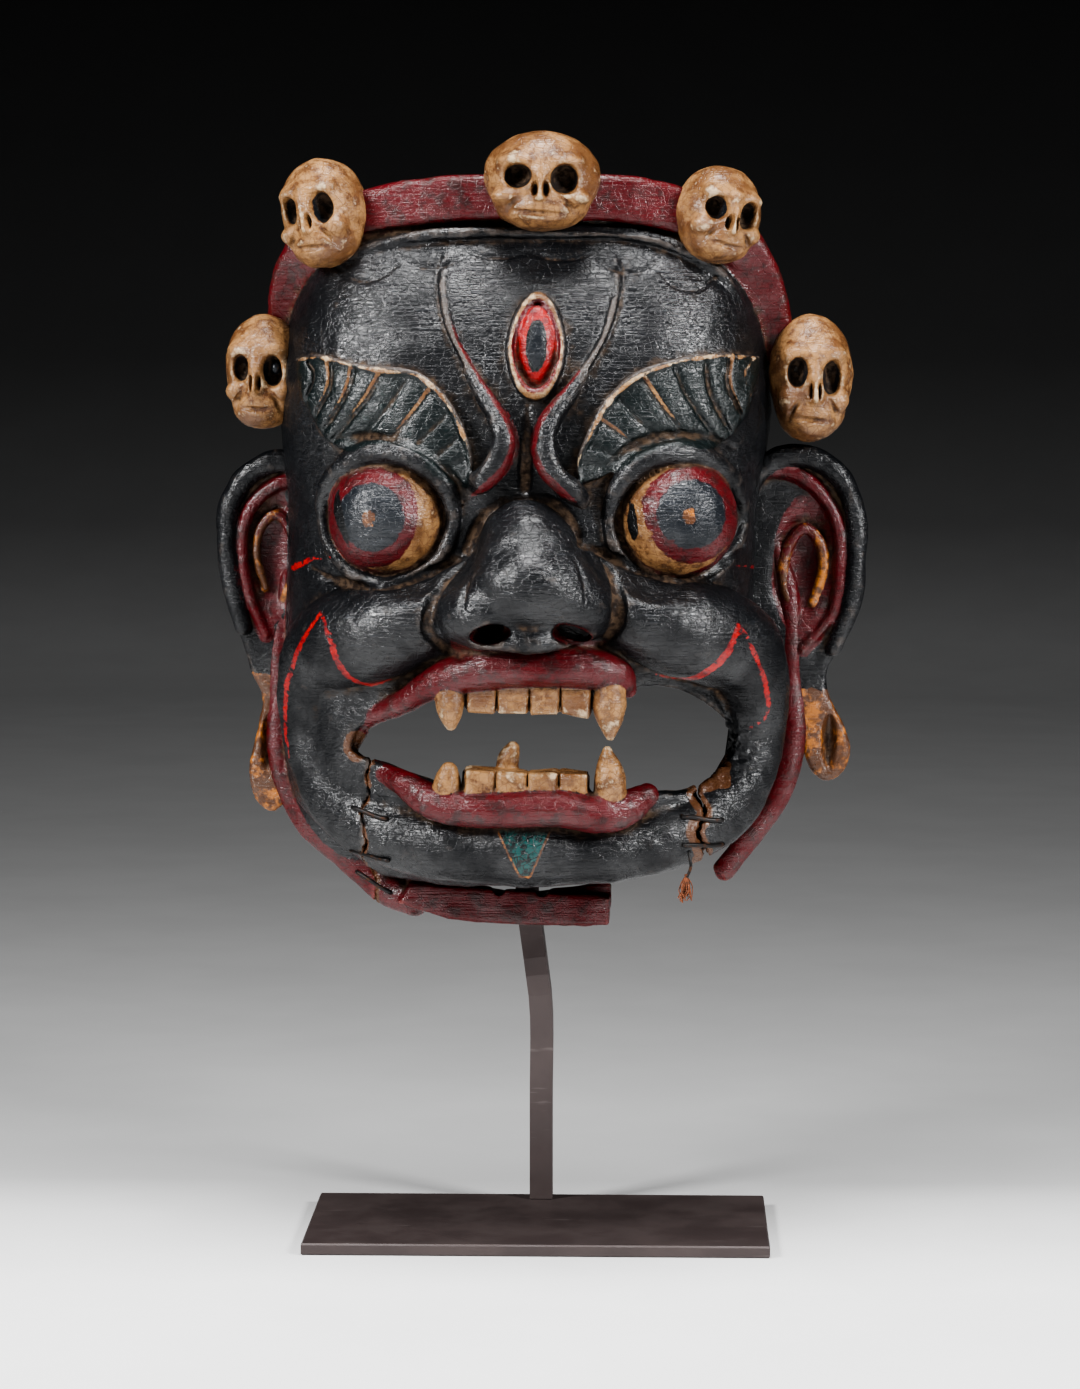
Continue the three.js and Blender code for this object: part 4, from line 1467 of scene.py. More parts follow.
@dataclass(frozen=True)
class PaintedWood:
    """Old paint over carved wood, paler on its proud edges from wear and a painted highlight, and darker in
    its hollows from dusty grime and painted shade.
    """

    black: Triple = (0.004, 0.0044, 0.0054)
    black_worn: Triple = (0.034, 0.038, 0.045)
    # Paler colour of proud edges of the black: wear with a painted highlight.
    edge_wear_and_highlight: Triple = (0.11, 0.085, 0.07)
    # Near-black for painted shadow in cracks and tie holes, and for black drips.
    soot: Triple = (0.003, 0.003, 0.003)
    bone_stain: Triple = (0.09, 0.036, 0.013)
    # Paler bone on proud places: wear with a painted highlight.
    bone_wear_and_highlight_color: Triple = (0.46, 0.34, 0.21)
    crimson_grime: Triple = (0.018, 0.005, 0.005)
    bright_flecks: Triple = (0.002, 0.045, 0.042)
    # Darker colour of the dusty grime and painted shade in hollows.
    dust_and_shade_dark: Triple = (0.022, 0.014, 0.01)
    crimson: Triple = (0.068, 0.0028, 0.0048)
    # Paler red on proud edges and scratches: wear with a painted highlight.
    crimson_wear_and_highlight: Triple = (0.2, 0.036, 0.03)
    scarlet: Triple = (0.3, 0.007, 0.006)
    bone: Triple = (0.26, 0.14, 0.06)
    bone_dark: Triple = (0.06, 0.02, 0.007)
    green: Triple = (0.0018, 0.0045, 0.0048)
    turquoise: Triple = (0.004, 0.06, 0.052)
    ink: Triple = (0.007, 0.009, 0.012)
    gold: Triple = (0.34, 0.12, 0.022)
    gold_dark: Triple = (0.07, 0.028, 0.012)
    bare: Triple = (0.09, 0.04, 0.018)
    # Paler colour of the dusty grime and painted shade in hollows.
    dust_and_shade_pale: Triple = (0.085, 0.055, 0.035)

    def build(self) -> bpy.types.Material:
        """Builds the material.

        Returns:
            The material.
        """
        sheet = NodeSheet(bpy.data.materials.new("painted_wood"), seed=4.0)
        edge = sheet.noise(3.2, 4)
        fine = sheet.noise(0.9, 2)
        blotch = sheet.noise(26, 4, 0.6)
        mottle = sheet.noise(7, 4, 0.65)
        strokes = sheet.noise(1.25, 4, 0.6, stretch=(14, 3, 1), twist=0.6)
        crazing = sheet.ramp(sheet.cells(4.2), 0.0, 0.07, 1, 0)
        wobble = sheet.math("ADD", self._around(sheet, edge, 1.7), self._around(sheet, fine, 0.9))
        relief = sheet.attribute("relief")
        # Proud places are painted paler, partly as wear and partly as a painted highlight.
        wear_and_highlight = sheet.ramp(sheet.math("ADD", relief, self._around(sheet, mottle, 2.2)), 0.3, 0.95)
        bone_wear_and_highlight = sheet.ramp(sheet.math("ADD", relief, self._around(sheet, mottle, 4.0)), 0.5, 1.2, 0, 0.85)
        scratched = sheet.math("MULTIPLY", sheet.ramp(strokes, 0.52, 0.72), sheet.ramp(blotch, 0.35, 0.65))
        color = sheet.mix(sheet.math("MULTIPLY", scratched, 0.3), self.black, self.black_worn)
        color = sheet.mix(sheet.math("MULTIPLY", wear_and_highlight, 0.45), color, self.edge_wear_and_highlight)
        rough = sheet.blend(sheet.ramp(mottle, 0.3, 0.7), 0.42, 0.6)
        highlight_wear_and_scratches = sheet.math("MAXIMUM", sheet.math("MULTIPLY", wear_and_highlight, 0.7),
                                       sheet.math("MULTIPLY", scratched, 0.3))
        grime = sheet.math("MAXIMUM", sheet.ramp(mottle, 0.46, 0.66, 0, 0.85),
                           sheet.ramp(strokes, 0.52, 0.68, 0, 0.6))
        flecks = sheet.math("MULTIPLY", sheet.ramp(edge, 0.44, 0.56), sheet.ramp(crazing, 0.3, 0.7, 1, 0))
        for paint, plain, aged, aging in (
            (Paint.BONE, self.bone, self.bone_dark, sheet.math("MAXIMUM", sheet.ramp(mottle, 0.42, 0.66),
                                                               sheet.math("MULTIPLY", crazing, 0.5))),
            (Paint.CRIMSON, self.crimson, self.crimson_wear_and_highlight, highlight_wear_and_scratches),
            (Paint.SCARLET, self.scarlet, self.crimson, sheet.ramp(mottle, 0.4, 0.7)),
            (Paint.GREEN, self.green, self.turquoise, sheet.ramp(edge, 0.58, 0.8, 0, 0.12)),
            (Paint.INK, self.ink, self.black_worn, scratched),
            (Paint.GOLD, self.gold_dark, self.gold, sheet.ramp(mottle, 0.48, 0.66)),
            (Paint.TURQUOISE, self.green, self.bright_flecks, flecks),
            (Paint.BARE, self.bare, self.bone_dark, sheet.ramp(fine, 0.3, 0.7)),
            # Painted shadow in cracks and tie holes, and black drips.
            (Paint.SOOT, self.soot, self.black, sheet.ramp(fine, 0.3, 0.7)),
        ):
            away = sheet.math("ADD", sheet.attribute(paint.value), wobble)
            on = sheet.ramp(away, -0.25, 0.25, 1, 0)
            laid = sheet.mix(aging, plain, aged)
            if paint is Paint.BONE:
                laid = sheet.mix(sheet.ramp(blotch, 0.44, 0.6, 0, 0.8), laid, self.bone_stain)
                # Proud bone painted paler: wear with a painted highlight.
                laid = sheet.mix(bone_wear_and_highlight, laid, self.bone_wear_and_highlight_color)
            if paint is Paint.CRIMSON:
                laid = sheet.mix(grime, laid, self.crimson_grime)
            color = sheet.mix(on, color, laid)
            gloss = {Paint.BONE: 0.5, Paint.BARE: 0.85, Paint.INK: 0.36}.get(paint, 0.45)
            rough = sheet.blend(on, rough, gloss)
        # Painted shade with dusty grime: hollows, creases, gaps between teeth and the inside of the back are
        # darkened.
        hollow = sheet.attribute("hollow")
        dust_and_shade = sheet.ramp(sheet.math("ADD", hollow, self._around(sheet, mottle, 2.0)), 0.4, 1.5, 0, 0.85)
        dust_and_shade_color = sheet.mix(sheet.ramp(edge, 0.4, 0.62), self.dust_and_shade_dark, self.dust_and_shade_pale)
        color = sheet.mix(dust_and_shade, color, dust_and_shade_color)
        rough = sheet.blend(dust_and_shade, rough, 0.85)
        height = sheet.math("ADD", sheet.math("MULTIPLY", strokes, 1.5), sheet.math("MULTIPLY", mottle, 2.0))
        height = sheet.math("SUBTRACT", height, sheet.math("MULTIPLY", crazing, 0.25))
        normal = sheet.bump(height, 0.36, 1.0)
        normal = sheet.bump(fine, 0.1, 0.6, under=normal)
        sheet.finish(color, rough, normal, specular=0.08)
        glaze = sheet.math("SUBTRACT", sheet.ramp(blotch, 0.32, 0.62, 0.3, 0.9),
                           sheet.math("MULTIPLY", dust_and_shade, 0.7), True)
        sheet.put(glaze, sheet.shader.inputs["Coat Weight"])
        sheet.put(sheet.ramp(mottle, 0.3, 0.7, 0.13, 0.25), sheet.shader.inputs["Coat Roughness"])
        sheet.put(normal, sheet.shader.inputs["Coat Normal"])
        return sheet.material

    @staticmethod
    def _around(sheet: NodeSheet, value: bpy.types.NodeSocket, size: float) -> bpy.types.NodeSocket:
        """Returns a noise moved to lie around zero, and scaled."""
        return sheet.math("MULTIPLY", sheet.math("SUBTRACT", value, 0.5), size)


@dataclass(frozen=True)
class CoatedSteel:
    """Satin dark brown coating on steel, with faint scuffs."""

    name: str = "bronzed_steel"
    base: Triple = (0.05, 0.037, 0.036)
    light: Triple = (0.066, 0.05, 0.048)
    scuffed: Triple = (0.14, 0.12, 0.115)

    def build(self) -> bpy.types.Material:
        """Builds the material."""
        sheet = NodeSheet(bpy.data.materials.new(self.name), seed=9.0)
        cloud_mask = sheet.noise(38, 5, 0.6)
        grain = sheet.noise(0.6, 2)
        scuff = sheet.ramp(sheet.noise(1.4, 3, 0.6, stretch=(30, 3, 3)), 0.66, 0.74, 0, 0.5)
        color = sheet.mix(sheet.ramp(cloud_mask, 0.35, 0.7), self.base, self.light)
        color = sheet.mix(scuff, color, self.scuffed)
        rough = sheet.blend(sheet.ramp(cloud_mask, 0.3, 0.7), 0.42, 0.55)
        normal = sheet.bump(grain, 0.05, 0.5)
        sheet.finish(color, rough, normal, metallic=0.3)
        return sheet.material


@dataclass(frozen=True)
class RustedWire:
    """Dark iron wire with rust."""

    iron: Triple = (0.012, 0.011, 0.011)
    rust: Triple = (0.07, 0.028, 0.012)

    def build(self) -> bpy.types.Material:
        """Builds the material."""
        sheet = NodeSheet(bpy.data.materials.new("iron_wire"), seed=13.0)
        rust = sheet.ramp(sheet.noise(2.5, 3), 0.52, 0.7)
        color = sheet.mix(rust, self.iron, self.rust)
        normal = sheet.bump(sheet.noise(0.5, 2), 0.08, 0.6)
        sheet.finish(color, sheet.blend(rust, 0.4, 0.8), normal, metallic=0.6)
        return sheet.material


@dataclass(frozen=True)
class Twine:
    """Brown natural fibre."""

    fresh: Triple = (0.2, 0.055, 0.018)
    dirty: Triple = (0.09, 0.03, 0.012)

    def build(self) -> bpy.types.Material:
        """Builds the material."""
        sheet = NodeSheet(bpy.data.materials.new("frayed_twine"), seed=17.0)
        share = sheet.ramp(sheet.noise(2, 3), 0.35, 0.65)
        color = sheet.mix(share, self.fresh, self.dirty)
        sheet.finish(color, sheet.blend(share, 0.8, 0.9), sheet.bump(sheet.noise(0.4), 0.05))
        return sheet.material


# ---- pieces ----
def mesh_object(name: str, points: Array, faces: Array, material: bpy.types.Material) -> bpy.types.Object:
    """Makes a smooth mesh object.

    Args:
        name: The piece's name.
        points: Its vertices, in metres.
        faces: Its quads or triangles, as rows of vertex numbers.
        material: Its finish.

    Returns:
        The object, linked to the scene.
    """
    mesh = bpy.data.meshes.new(name)
    mesh.vertices.add(len(points))
    mesh.vertices.foreach_set("co", points.astype(np.float32).ravel())
    sides = faces.shape[1]
    mesh.loops.add(faces.size)
    mesh.loops.foreach_set("vertex_index", faces.astype(np.int32).ravel())
    mesh.polygons.add(len(faces))
    mesh.polygons.foreach_set("loop_start", np.arange(0, faces.size, sides, dtype=np.int32))
    mesh.update(calc_edges=True)
    mesh.validate()
    mesh.shade_smooth()
    mesh.materials.append(material)
    made = bpy.data.objects.new(name, mesh)
    bpy.context.scene.collection.objects.link(made)
    return made


@dataclass
class Carving:
    """A carved and painted piece of the mask.

    Attributes:
        name: The piece's name.
        low: Lowest corner of its block.
        high: Highest corner of its block.
        step: Grid spacing of its block.
        features: What is carved on it, in order.
        target: The most triangles.
    """

    name: str
    low: Triple
    high: Triple
    step: float
    features: Sequence[Feature]
    target: int = 120_000
    block: Block | None = None

    EDGE_SPREAD = 2.5
    DUST_AND_SHADE_SPREAD = 5.0
    PAINT_REACH = 4.0
    BACK_LEAN = 0.36
    LEAN_BELOW = 62

    def shape(self, block: Block) -> None:
        """Carves the features on an empty block."""
        for feature in self.features:
            feature.carve(block)
        self.trim_back(block)

    def trim_back(self, block: Block) -> None:
        """Cuts the flat back, which leans forwards under the chin."""
        _, d, v = block.coordinates([slice(None)] * 3)
        block.wood = np.maximum(block.wood, np.maximum(-d, (self.LEAN_BELOW - v) * self.BACK_LEAN - d))

    def uneven(self, points: Array) -> Array:
        """Returns how far each place stands out from the carver's smooth shape."""
        return 0.65 * cloud(points, 15, 5) + 0.35 * cloud(points, 5, 6)

    def build(self, material: bpy.types.Material) -> bpy.types.Object:
        """Carves, paints and thins the piece.

        Args:
            material: Its finish.

        Returns:
            The object.
        """
        self.block = Block(self.low, self.high, self.step)
        self.shape(self.block)
        points, quads = largest_part(*self.block.surface())
        plan = PaintPlan(points)
        for feature in self.features:
            feature.paint(plan)
        outward = facing(points, quads)
        self.bare_wood(plan)
        inside = (HEAD.distance(*points.T) < -8) & (outward[:, 1] < 0.2)
        moved = points + self.uneven(points)[:, None] * outward
        made = mesh_object(self.name, MaskPlace().to_world(moved), quads, material)
        # Proud edges, which the finish paints paler with wear and a painted highlight.
        store(made, "relief", self.block.relief(points, self.EDGE_SPREAD))
        # Hollows and the whole inside of the back, which the finish paints darker with dusty grime and
        # painted shade.
        store(made, "hollow", np.where(inside, 1.0, -self.block.relief(points, self.DUST_AND_SHADE_SPREAD)))
        for paint, values in plan.fields.items():
            store(made, paint.value, np.clip(values, -self.PAINT_REACH, self.PAINT_REACH))
        thin(made, inside, self.target)
        log.info("%s: %d polygons", made.name, len(made.data.polygons))
        return made

    def bare_wood(self, plan: PaintPlan) -> None:
        """Takes the paint off what has broken."""


@dataclass
class HeadCarving(Carving):
    """A carving of the hollow head: the mask, or the jaw that has broken off it."""

    jaw: bool = False

    MOUTH_LEVEL = 108
    BREAK_LEFT = (
        (-79, MOUTH_LEVEL), (-77, 94), (-80, 84), (-78, 74), (-82, 66), (-79, 50), (-83, 38), (-77, 22),
        (-80, -20),
    )
    BREAK_RIGHT = (
        (88, -20), (90, 20), (86, 36), (90, 48), (85, 60), (89, 70), (84, 78), (87, 92), (86, MOUTH_LEVEL),
    )

    def _break(self, gap: float) -> Array:
        """Returns the jaw's outline, grown into the gap at the breaks."""
        left = [(u - gap * 0.25, v) for u, v in self.BREAK_LEFT]
        right = [(u + gap * 1.2, v) for u, v in self.BREAK_RIGHT]
        return np.array([*reversed(left), *reversed(right)], float)

    def shape(self, block: Block) -> None:
        """Carves the head, hollows it, and parts the jaw from the mask."""
        spans = [slice(None)] * 3
        head = HEAD.distance(*block.coordinates(spans)).astype(np.float32)
        block.wood = head.copy()
        for feature in self.features:
            feature.carve(block)
        block.wood = -smooth_least(-block.wood, head + HEAD.wall, 4)
        block.cut(ball((66, 8, 108), (44, 50, 34)), 4)
        self.trim_back(block)
        Nose().open_nostrils(block)
        outline = slab(self._break(-0.5 if self.jaw else 1.6), -60, 260)
        flat = outline.distance(*block.coordinates(spans)).astype(np.float32)
        block.wood = np.maximum(block.wood, flat if self.jaw else -flat)

    def _from_break(self, points: Array) -> Array:
        """Returns the distance of each place to the breaks."""
        away = np.abs(outline_distance(self._break(0), points[:, 0], points[:, 2]))
        return np.where(points[:, 2] < self.MOUTH_LEVEL, away, FAR)

    def uneven(self, points: Array) -> Array:
        """Returns how far each place stands out: torn at the breaks and at the mouth's right corner."""
        torn = np.clip(1 - self._from_break(points) / 3.5, 0, 1)
        corner = np.clip(1 - np.hypot(points[:, 0] - 98, points[:, 2] - 100) / 24, 0, 1) * (points[:, 1] > 30)
        rough = 1.2 * cloud(points, 3.2, 7) + 0.8 * cloud(points, 1.7, 8)
        return super().uneven(points) + (torn + 2 * corner) * rough

    def bare_wood(self, plan: PaintPlan) -> None:
        """Bares the wood at the breaks and at the mouth's corners."""
        u, d, v = plan.points.T
        near = self._from_break(plan.points) + 1.5 * cloud(plan.points, 5, 33)
        plan.lay(Paint.BARE, np.where(u > 0, near - 4.5, near - 1))
        right_corner = np.hypot(u - 93, v - 88) - 9 + 3 * cloud(plan.points, 6, 34)
        plan.lay(Paint.BARE, np.where(u > 60, right_corner, FAR))
        left_corner = np.hypot((u + 86) / 0.8, v - 98) - 8
        plan.lay(Paint.BARE, np.where(d > 20, left_corner, FAR))


def facing(points: Array, quads: Array) -> Array:
    """Returns the outward direction at each point of a mesh of quads."""
    a, b, c, e = (points[quads[:, i]] for i in range(4))
    across = np.cross(c - a, e - b)
    total = np.zeros_like(points)
    for i in range(4):
        np.add.at(total, quads[:, i], across)
    return total / (np.linalg.norm(total, axis=1)[:, None] + 1e-9)


def store(made: bpy.types.Object, name: str, values: Array) -> None:
    """Stores one number for each vertex as an attribute."""
    attribute = made.data.attributes.new(name, "FLOAT", "POINT")
    attribute.data.foreach_set("value", values.astype(np.float32))


def largest_part(points: Array, quads: Array) -> tuple[Array, Array]:
    """Keeps the largest connected part of a mesh.

    Args:
        points: Its vertices.
        quads: Its faces, as rows of vertex numbers.

    Returns:
        The vertices and faces of that part.
    """
    label = np.arange(len(points))
    while True:
        least = label[quads].min(axis=1)
        new = label.copy()
        np.minimum.at(new, quads.ravel(), np.repeat(least, 4))
        new = new[new]
        if np.array_equal(new, label):
            break
        label = new
    biggest = np.bincount(label).argmax()
    kept = label == biggest
    number = np.cumsum(kept) - 1
    return points[kept], number[quads[kept[quads[:, 0]]]]


def plain_mesh(made: bpy.types.Object) -> bpy.types.Mesh:
    """Returns what an object's modifiers make of it, as a new mesh."""
    bpy.context.view_layer.update()
    graph = bpy.context.evaluated_depsgraph_get()
    return bpy.data.meshes.new_from_object(made.evaluated_get(graph), depsgraph=graph)


def settle(made: bpy.types.Object) -> None:
    """Turns an object's modifiers into plain mesh."""
    mesh = plain_mesh(made)
    made.modifiers.clear()
    made.data = mesh


def triangles_of(made: bpy.types.Object) -> int:
    """Returns how many triangles an object has."""
    return sum(len(polygon.vertices) - 2 for polygon in made.data.polygons)


def thin(made: bpy.types.Object, back: Array, target: int) -> None:
    """Brings a mesh under a number of triangles, at its back first.

    Args:
        made: The object.
        back: Which vertices are hidden inside.
        target: The most triangles.
    """
    triangles = 2 * len(made.data.polygons)
    if triangles <= target:
        return
    group = made.vertex_groups.new(name="back")
    group.add(np.flatnonzero(back).tolist(), 1.0, "REPLACE")
    fewer = made.modifiers.new("fewer_behind", "DECIMATE")
    fewer.ratio = max(0.3, target / triangles)
    fewer.vertex_group = "back"
    fewer.vertex_group_factor = 2.0
    settle(made)
    triangles = triangles_of(made)
    if triangles > target:
        made.modifiers.new("fewer", "DECIMATE").ratio = target / triangles
        settle(made)
    made.vertex_groups.clear()


# ---- wire and string ----
def sweep_tree() -> bpy.types.NodeTree:
    """Builds the nodes that sweep a round section along curves.

    Returns:
        The node tree, with the inputs Radius, Sides and Material.
    """
    tree = bpy.data.node_groups.new("round_sweep", "GeometryNodeTree")
    face = tree.interface
    inputs = {"Geometry": "Geometry", "Radius": "Float", "Sides": "Int", "Material": "Material"}
    for name, kind in inputs.items():
        face.new_socket(name, in_out="INPUT", socket_type="NodeSocket" + kind)
    face.new_socket("Geometry", in_out="OUTPUT", socket_type="NodeSocketGeometry")
    given = tree.nodes.new("NodeGroupInput")
    circle = tree.nodes.new("GeometryNodeCurvePrimitiveCircle")
    swept = tree.nodes.new("GeometryNodeCurveToMesh")
    smooth = tree.nodes.new("GeometryNodeSetShadeSmooth")
    real = tree.nodes.new("GeometryNodeRealizeInstances")
    finish = tree.nodes.new("GeometryNodeSetMaterial")
    out = tree.nodes.new("NodeGroupOutput")
    swept.inputs["Fill Caps"].default_value = True
    for source, target in (
        (given.outputs["Radius"], circle.inputs["Radius"]),
        (given.outputs["Sides"], circle.inputs["Resolution"]),
        (given.outputs["Geometry"], swept.inputs["Curve"]),
        (circle.outputs["Curve"], swept.inputs["Profile Curve"]),
        (swept.outputs["Mesh"], smooth.inputs["Geometry"]),
        (smooth.outputs["Geometry"], real.inputs["Geometry"]),
        (real.outputs["Geometry"], finish.inputs["Geometry"]),
        (given.outputs["Material"], finish.inputs["Material"]),
        (finish.outputs["Geometry"], out.inputs["Geometry"]),
    ):
        tree.links.new(source, target)
    return tree


@dataclass
class Strands:
    """Round strands of one thickness along smooth paths."""

    name: str
    paths: Sequence[Sequence[Triple]]
    radius: float
    sides: int = 10

    def build(self, material: bpy.types.Material, tree: bpy.types.NodeTree) -> bpy.types.Object:
        """Sweeps the strands.

        Args:
            material: Their finish.
            tree: The sweeping nodes.

        Returns:
            The object, as plain mesh.
        """
        curve = bpy.data.curves.new(self.name, "CURVE")
        curve.dimensions = "3D"
        for path in self.paths:
            places = MaskPlace().to_world(curve_through(path, 6 * len(path)))
            spline = curve.splines.new("POLY")
            spline.points.add(len(places) - 1)
            spline.points.foreach_set("co", np.column_stack([places, np.ones(len(places))]).ravel())
        maker = bpy.data.objects.new(self.name + "_path", curve)
        bpy.context.scene.collection.objects.link(maker)
        nodes = maker.modifiers.new("sweep", "NODES")
        nodes.node_group = tree
        sockets = {item.name: item.identifier for item in tree.interface.items_tree if item.in_out == "INPUT"}
        nodes[sockets["Radius"]] = self.radius * MM
        nodes[sockets["Sides"]] = self.sides
        nodes[sockets["Material"]] = material
        mesh = plain_mesh(maker)
        bpy.data.objects.remove(maker)
        made = bpy.data.objects.new(self.name, mesh)
        bpy.context.scene.collection.objects.link(made)
        log.info("%s: %d strands", self.name, len(self.paths))
        return made


@dataclass(frozen=True)
class Repairs:
    """The wires that tie the broken jaw, and the frayed string at the right break."""

    stitches: tuple = (
        ("left_stitch_upper", (-87, 67), (-69, 63)),
        ("left_stitch_lower", (-88, 44), (-68, 42)),
        ("right_stitch_upper", (78, 68), (98, 66)),
        ("right_stitch_lower", (79, 54), (99, 53)),
        ("left_rim_staple", (-88, 27), (-70, 18)),
    )
    wire_radius: float = 1.1
    string_radius: float = 0.75
    fibre_radius: float = 0.28
    fibre_count: int = 36

    def build(self, mask: Block, jaw: Block) -> None:
        """Builds every wire and the string.

        Args:
            mask: The mask's block.
            jaw: The jaw's block.
        """
        tree = sweep_tree()
        iron = RustedWire().build()
        for name, start, end in self.stitches:
            on = (jaw, mask) if name.startswith("right") else (mask, jaw)
            ends = [(u, block.front(u, v) + 0.5, v) for block, (u, v) in zip(on, (start, end))]
            made = Strands(name + "_wire", [self._staple(*ends)], self.wire_radius).build(iron, tree)
            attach(made, "root")
            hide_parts(name)
        self._string(jaw, tree)

    def _staple(self, a: Triple, b: Triple) -> list[Triple]:
        """Returns the path of a staple between two holes."""
        a, b = np.array(a), np.array(b)
        middle = (a + b) / 2 + (0, 1.7, 0)
        deep = np.array((0, -4, 0))
        return [
            a + deep, a + (0.3, 0.2, 0), (a * 3 + b) / 4 + (0, 1.3, 0.3), middle,
            (a + 3 * b) / 4 + (0, 1.3, -0.3), b + (-0.3, 0.2, 0), b + deep,
        ]

    def _string(self, jaw: Block, tree: bpy.types.NodeTree) -> None:
        """Builds the string and its frayed end."""
        rng = np.random.default_rng(21)
        top = np.array((82, jaw.front(82, 50) + 0.6, 50))
        knot = top + (-1, 1.5, -13)
        cord = [top + (1, -3, 3), top, (top + knot) / 2 + (1.5, 1.2, 0), knot]
        fibres = []
        for _ in range(self.fibre_count):
            fall = rng.uniform(5, 12)
            lean = rng.uniform(-0.45, 0.28)
            bend = rng.normal(0, 1.3, 3)
            tip = knot + (fall * lean, rng.uniform(-1.5, 2.5), -fall)
            fibres.append([knot + rng.normal(0, 0.3, 3) + (0, 0, 2), (knot + tip) / 2 + bend, tip])
        twine = Twine().build()
        for made in (Strands("tied_string", [cord], self.string_radius, 8).build(RustedWire().build(), tree),
                     Strands("frayed_string", fibres, self.fibre_radius, 5).build(twine, tree)):
            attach(made, "root")


@dataclass(frozen=True)
class Studio:
    """The floor, the lights and the camera."""

    lens: float = 100.0
    away: float = 1.972
    turn_deg: float = 1.7
    down_deg: float = 5.18
    target: Triple = (0.0008, 0.0, 0.27839)
    # Painted shade: the floor's grey at each distance behind the mask in metres, then the wall's grey at each
    # degree of the sweep.
    floor_painted_shade: tuple = (
        (-9.0, 0.85), (-0.12, 0.85), (0.03, 0.62), (0.12, 0.4), (0.31, 0.34), (0.54, 0.29), (0.83, 0.26),
        (1.2, 0.25), (1.64, 0.27), (2.2, 0.34), (2.9, 0.42),
    )
    wall_painted_shade: tuple = ((0, 0.4), (15, 0.3), (30, 0.13), (45, 0.055), (60, 0.033), (75, 0.015), (90, 0.008))
    half_width: float = 12.0
    wall_top: float = 9.0
    sweep_radius: float = 1.5
    under_plate: float = 0.0001
    sky: tuple = (0.6, 0.62, 0.65, 1)
    sky_strength: float = 0.04

    def build(self) -> None:
        """Builds the floor, the lights and the camera."""
        self._floor()
        self._light("left", (-1.1, -0.9, 1.05), 0.34, 36)
        self._light("right", (1.15, -0.85, 0.95), 0.34, 32)
        self._light("top", (0.0, -0.3, 1.7), 0.6, 32)
        self._light("front", (-0.5, -2.2, 1.5), 0.5, 3)
        world = bpy.data.worlds.new("studio")
        world.use_nodes = True
        background = world.node_tree.nodes["Background"]
        background.inputs["Color"].default_value = self.sky
        background.inputs["Strength"].default_value = self.sky_strength
        bpy.context.scene.world = world
        bpy.context.scene.view_settings.look = "AgX - Medium High Contrast"
        self._camera()

    def _floor(self) -> None:
        """Makes a pale floor that sweeps up behind, with painted shade that darkens it behind the mask and as
        it rises.
        """
        steps, radius = 24, self.sweep_radius
        profile = [(y, 0.0, shade) for y, shade in self.floor_painted_shade]
        start = profile[-1][0]
        for turn in np.linspace(0, 90, steps + 1)[1:]:
            a = math.radians(turn)
            shade = float(np.interp(turn, *zip(*self.wall_painted_shade)))
            profile.append((start + radius * math.sin(a), radius - radius * math.cos(a), shade))
        profile.append((start + radius, self.wall_top, self.wall_painted_shade[-1][1]))
        edges = (-self.half_width, self.half_width)
        points = np.array([(x, y, z - self.under_plate) for y, z, _ in profile for x in edges])
        faces = np.array([(2 * i, 2 * i + 1, 2 * i + 3, 2 * i + 2) for i in range(len(profile) - 1)])
        sheet = NodeSheet(bpy.data.materials.new("floor"))
        grain = sheet.ramp(sheet.noise(90, 3), 0.3, 0.7, 0.98, 1.02)
        sheet.finish(sheet.math("MULTIPLY", sheet.attribute("shade"), grain), 0.8, specular=0.1)
        floor = mesh_object("floor", points, faces, sheet.material)
        store(floor, "shade", np.array([shade for _, _, shade in profile for _ in range(2)]))

    def _light(self, name: str, place: Triple, size: float, power: float) -> None:
        """Adds a square soft light that faces the mask."""
        light = bpy.data.lights.new(name, "AREA")
        light.size = size
        light.energy = power
        made = bpy.data.objects.new(name, light)
        made.location = place
        aim = Vector(self.target) + Vector((0, 0, 0.08)) - Vector(place)
        made.rotation_euler = aim.to_track_quat("-Z", "Y").to_euler()
        bpy.context.scene.collection.objects.link(made)

    def _camera(self) -> None:
        """Adds the camera."""
        camera = bpy.data.cameras.new("camera")
        camera.lens = self.lens
        camera.sensor_width = 36
        turn, down = math.radians(self.turn_deg), math.radians(self.down_deg)
        ahead = Vector((-math.sin(turn) * math.cos(down), math.cos(turn) * math.cos(down), -math.sin(down)))
        made = bpy.data.objects.new("camera", camera)
        made.location = Vector(self.target) - ahead * self.away
        made.rotation_euler = ahead.to_track_quat("-Z", "Y").to_euler()
        bpy.context.scene.collection.objects.link(made)
        bpy.context.scene.camera = made


def one_piece(parts: Sequence[bpy.types.Object], node: str) -> bpy.types.Object:
    """Joins what is carved from one block of wood, and puts it in the place of its CAD node.

    Args:
        parts: The carvings, whose first names the piece.
        node: The CAD node.

    Returns:
        The piece.
    """
    made = parts[0]
    if len(parts) > 1:
        with bpy.context.temp_override(active_object=made, object=made, selected_objects=list(parts),
                                       selected_editable_objects=list(parts)):
            bpy.ops.object.join()
    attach(made, "root")
    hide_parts(node)
    log.info("%s: %d triangles in one piece", made.name, triangles_of(made))
    return made


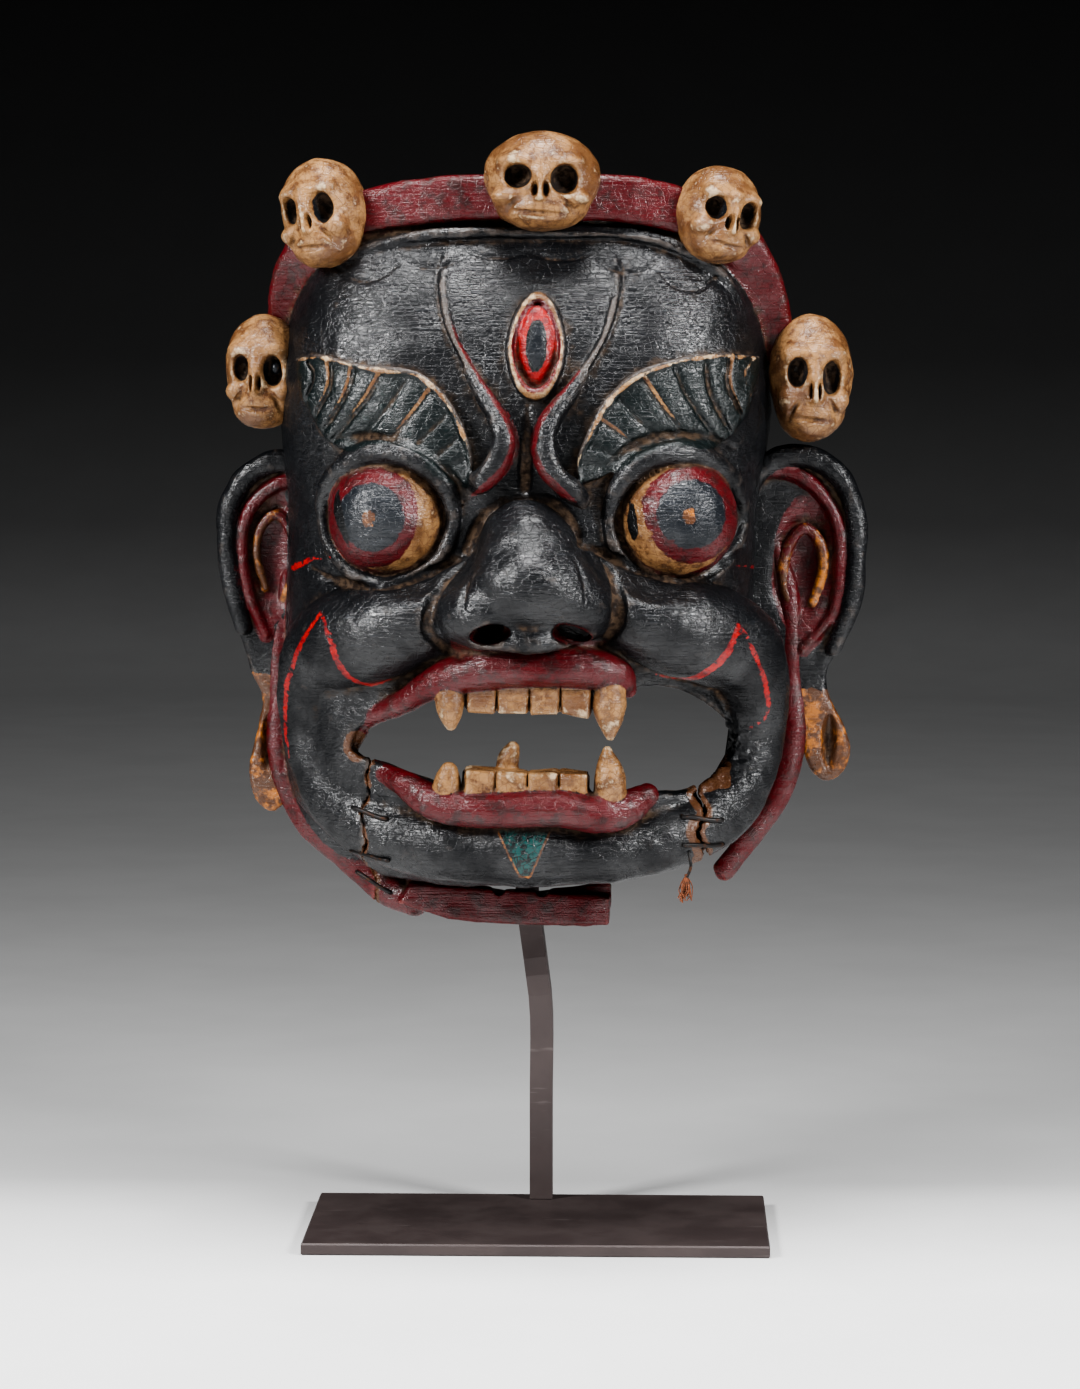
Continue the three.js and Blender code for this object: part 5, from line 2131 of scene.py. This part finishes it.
def block_around(form: Form, margin: float = 4) -> tuple[Triple, Triple]:
    """Returns the corners of a block around a form."""
    return tuple(np.array(form.low) - margin), tuple(np.array(form.high) + margin)


def face_features() -> list[Feature]:
    """Returns what the mask and its jaw are carved with, in the order of the carving."""
    eyes = (Eye(-1, (-72.3, 214), (-79, 214)), Eye(1, (71, 216.6), (78, 219.5)))
    right_top = ((112, 296.5), (102, 297), (89, 297), (69, 293), (49.5, 284.5), (36.6, 271), (28.7, 255),
                 (23.5, 241), (26, 233))
    right_bottom = ((110, 281), (105, 266), (95, 254), (78, 248), (56, 246), (40, 238), (26, 233))
    brows = (Brow(-1), Brow(1, right_top, right_bottom))
    frown = [FrownFold(side) for side in SIDES]
    cheeks = [CheekFold(side) for side in SIDES]
    return [Chin(), *brows, *frown, Nose(), *cheeks, *eyes, ThirdEye(), Rim(), Mouth()]


def main() -> None:
    """Builds every piece in order."""
    Studio().build()
    wood = PaintedWood().build()
    face = face_features()
    mask = HeadCarving("mask", (-150, -4, -4), (150, 152, 396), 1.25, [*face, Crown(), Creases(), Cracks()])
    parts = [mask.build(wood)]
    for side, name in zip(SIDES, ("left", "right")):
        low, high = ((-174, -3, 44), (-100, 30, 256)) if side < 0 else ((100, -3, 70), (176, 30, 262))
        parts.append(Carving(f"{name}_ear", low, high, 1.0, [Ear(side)], 14_000).build(wood))
    for skull, name in zip(SKULLS, ("crown", "upper_left", "upper_right", "side_left", "side_right")):
        parts.append(Carving(f"{name}_skull", *block_around(skull.whole()), 0.8, [skull], 9_000).build(wood))
    one_piece(parts, "mask_carving")
    jaw = HeadCarving("jaw", (-90, 10, -2), (96, 130, 112), 1.1, [*face, Cracks()], jaw=True)
    one_piece([jaw.build(wood)], "jaw_carving")
    Repairs().build(mask.block, jaw.block)
    steel = CoatedSteel().build()
    for name in ("stand_stem", "stand_base"):
        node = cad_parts[name]
        node.data.materials.clear()
        node.data.materials.append(steel)
    log.info("stand: stem and base")


if __name__ == "__main__":
    main()
